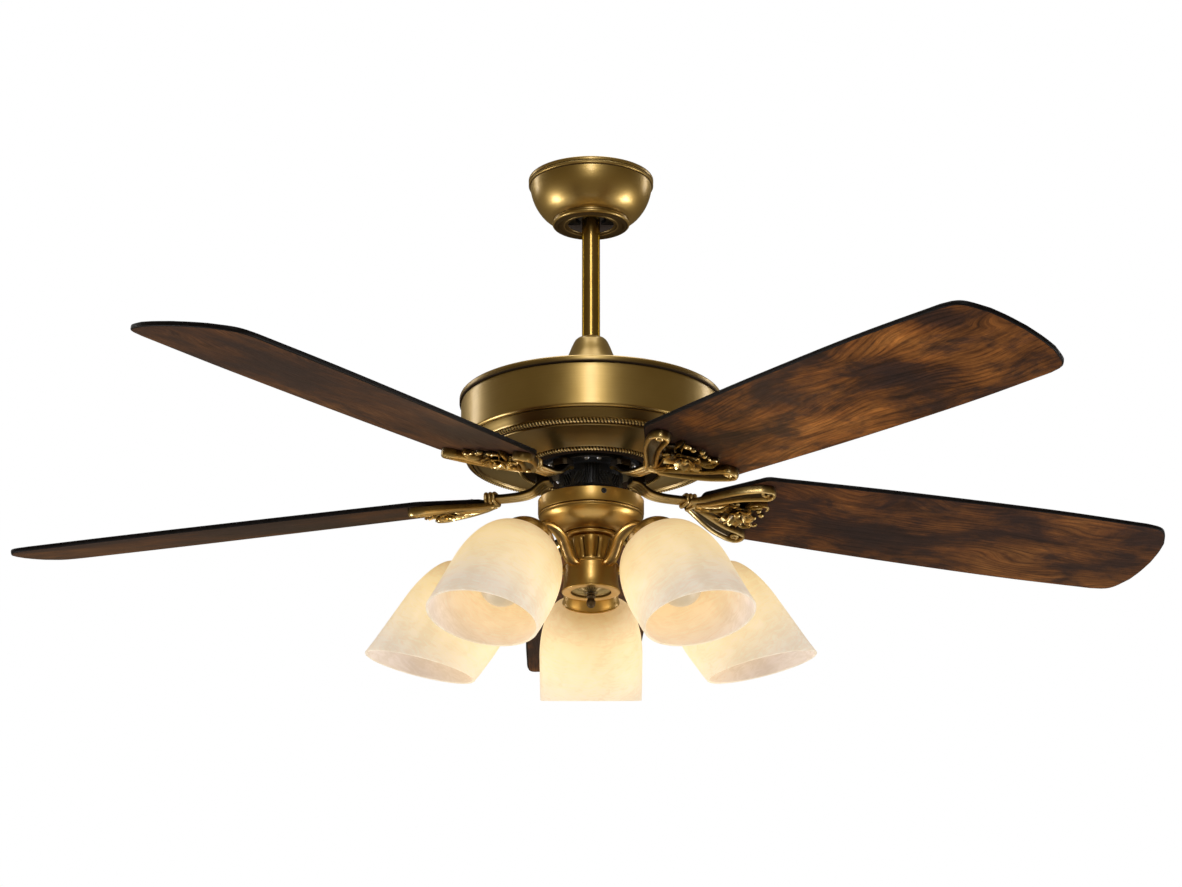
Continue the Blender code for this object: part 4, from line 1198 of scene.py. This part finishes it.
def bulb_form():
    """A frosted globe on a straight base."""
    base = [(0, 0.0146), (0.0090, 0.0146), (0.0102, 0.0138), (0.0104, -0.0080), (0.0112, -0.0105)]
    neck = through([(0.0114, -0.0120), (0.0122, -0.0240), (0.0142, -0.0360), (0.0176, -0.0460)], 6)
    globe = arc((0, -0.0600), (0.0225, 0.0225), 33, -90, 24)
    return lathe(lathe_profile(base, neck, globe), 48)


def socket_form():
    """A ceramic socket with one groove round it, open downwards."""
    shell = [(0, 0.0235), (0.0130, 0.0235), (0.0136, 0.0228), (0.0149, 0.0182), (0.0150, 0.0174)]
    shell += [(0.0150, 0.0040), (0.0144, 0.0034), (0.0144, 0.0016), (0.0150, 0.0010), (0.0150, -0.0094)]
    shell += [(0.0144, -0.0100), (0.0122, -0.0100), (0.0118, -0.0094), (0.0118, 0.0150), (0, 0.0150)]
    return lathe(shell, 48)


def lamps():
    bar, cup, socket, bulb, shade = lamp_arm_bar(), fitter_cup(), socket_form(), bulb_form(), shade_form()
    for number, degrees in enumerate(LAMP_AZIMUTHS, 1):
        azimuth = math.radians(degrees)
        place = lamp_place(azimuth)
        upright = at_height(0) @ Matrix.Rotation(azimuth, 4, "Z")
        bar_here = moved(bar, place.inverted() @ upright)
        piece(f"lamp_arm_{number}_bar", bar_here, LOOKS["kit_brass"], "hanging", (), place)
        for kind, part, form, look, slot in (
            ("lamp_arm", "fitter", cup, "kit_brass", "antique_brass"),
            ("lamp_socket", "shell", socket, "ceramic", "ceramic"),
            ("bulb", "globe", bulb, "bulb", "bulb_glass"),
            ("shade", "glass", shade, "glass", "alabaster_glass"),
        ):
            node_name = f"{kind}_{number}"
            piece(f"{node_name}_{part}", form, LOOKS[look], "hanging", node_name, place)


# What stays as packed


def cad_look(name, colour, roughness, metallic):
    """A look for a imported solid, which has no attributes of its own."""
    look, tree, shader = new_look(name, metallic, roughness)
    place = node(tree, "TexCoord").outputs["Object"]
    grit = noise(tree, place, 500.0, 4.0, 0.6)
    cloud = noise(tree, place, 40.0, 3.0)
    tone = mixed(tree, ranged(tree, cloud, 0.3, 0.7, 0.0, 0.8), colour, tuple(0.6 * c for c in colour))
    feed(shader, "Base Color", tone)
    feed(shader, "Roughness", ranged(tree, grit, 0.3, 0.7, roughness - 0.05, roughness + 0.1))
    bumped(tree, shader, grit, 0.08, 0.0003)
    return look


def packed_pieces():
    steel = cad_look("steel_packed", (0.55, 0.55, 0.56), 0.34, 1.0)
    black = cad_look("near_black_packed", (0.030, 0.031, 0.034), 0.36, 0.3)
    plastic = cad_look("capacitor_packed", (0.05, 0.05, 0.055), 0.35, 0.0)
    # The hanger bracket is coloured near black.
    looks = {"hanger_bracket": black, "capacitor": plastic}
    looks.update({name: steel for name in ("ball_pin", "coupling_pin", "switch_plate")})
    for name, look in looks.items():
        for slot in NODES[name].material_slots:
            slot.material = look


# Studio


def area_light(name, place, target, width, height, power):
    data = bpy.data.lights.new(name, "AREA")
    data.shape = "RECTANGLE"
    data.size, data.size_y = width, height
    data.energy = power
    light = bpy.data.objects.new(name, data)
    bpy.context.scene.collection.objects.link(light)
    light.location = place
    light.rotation_euler = (Vector(target) - Vector(place)).to_track_quat("-Z", "Y").to_euler()
    light.visible_camera = False
    return light


def studio():
    world = bpy.data.worlds.new("studio")
    bpy.context.scene.world = world
    world.use_nodes = True
    tree = world.node_tree
    tree.nodes["Background"].inputs["Color"].default_value = (1, 1, 1, 1)
    tree.nodes["Background"].inputs["Strength"].default_value = 1.0
    direction = node(tree, "TexCoord").outputs["Generated"]
    level = node(tree, "SeparateXYZ", {0: direction}).outputs[2]
    sky = ramp(
        tree, ranged(tree, level, -1.0, 1.0, 0.0, 1.0), (0.0, (0.30, 0.25, 0.17)),
        (0.42, (0.195, 0.148, 0.068)), (0.60, (0.13, 0.098, 0.045)), (1.0, (0.26, 0.225, 0.16)),
    )
    dim = node(tree, "Background", {"Color": sky, "Strength": 1.0}).outputs[0]
    seen = node(tree, "LightPath").outputs["Is Camera Ray"]
    mix = node(tree, "MixShader", {0: seen, 1: dim, 2: tree.nodes["Background"].outputs[0]}).outputs[0]
    tree.links.new(mix, tree.nodes["World Output"].inputs["Surface"])
    centre = (0, 0, BLADE_Z)
    area_light("key_front", (0.0, -3.8, 0.75), centre, 0.60, 2.0, 38)
    for side in (-1, 1):
        name = "left" if side < 0 else "right"
        area_light("low_" + name, (side * 3.0, 0.4, -2.3), centre, 1.0, 1.0, 56)
        area_light("back_" + name, (side * 2.9, 1.8, 0.7), centre, 0.7, 1.2, 10)
    area_light("above", (0.0, 0.0, 3.6), centre, 3.0, 3.0, 110)
    area_light("floor_wash", (0.0, 0.0, -3.6), (0, 0, FLOOR_Z), 5.0, 5.0, 420)


def floor():
    """A plain pale floor, far enough below that views from underneath stay clear of it."""
    mesh = bpy.data.meshes.new("floor")
    form = bmesh.new()
    bmesh.ops.create_grid(form, x_segments=1, y_segments=1, size=6)
    form.to_mesh(mesh)
    form.free()
    plane = bpy.data.objects.new("floor", mesh)
    bpy.context.scene.collection.objects.link(plane)
    plane.location.z = FLOOR_Z
    look, tree, shader = new_look("floor_pale", 0.0, 0.9)
    cloud = noise(tree, node(tree, "TexCoord").outputs["Object"], 0.4, 2.0)
    feed(shader, "Base Color", ramp(tree, cloud, (0.3, 0.78), (0.7, 0.82)))
    mesh.materials.append(look)


def camera():
    data = bpy.data.cameras.new("camera")
    data.sensor_width = 36.0
    data.lens = LENS_MM
    view = bpy.data.objects.new("camera", data)
    bpy.context.scene.collection.objects.link(view)
    view.location = (0, -CAMERA_BACK, BLADE_Z - CAMERA_BELOW)
    view.rotation_euler = (math.pi / 2 + CAMERA_RISE, 0, 0)
    bpy.context.scene.camera = view
    bpy.context.scene.view_settings.view_transform = "Standard"


def main():
    hanging_gear()
    canopy()
    coupling_cover()
    motor()
    flywheel()
    housing()
    blades()
    blade_irons()
    switch_cup()
    kit_centre()
    lamps()
    packed_pieces()
    studio()
    floor()
    camera()


main()
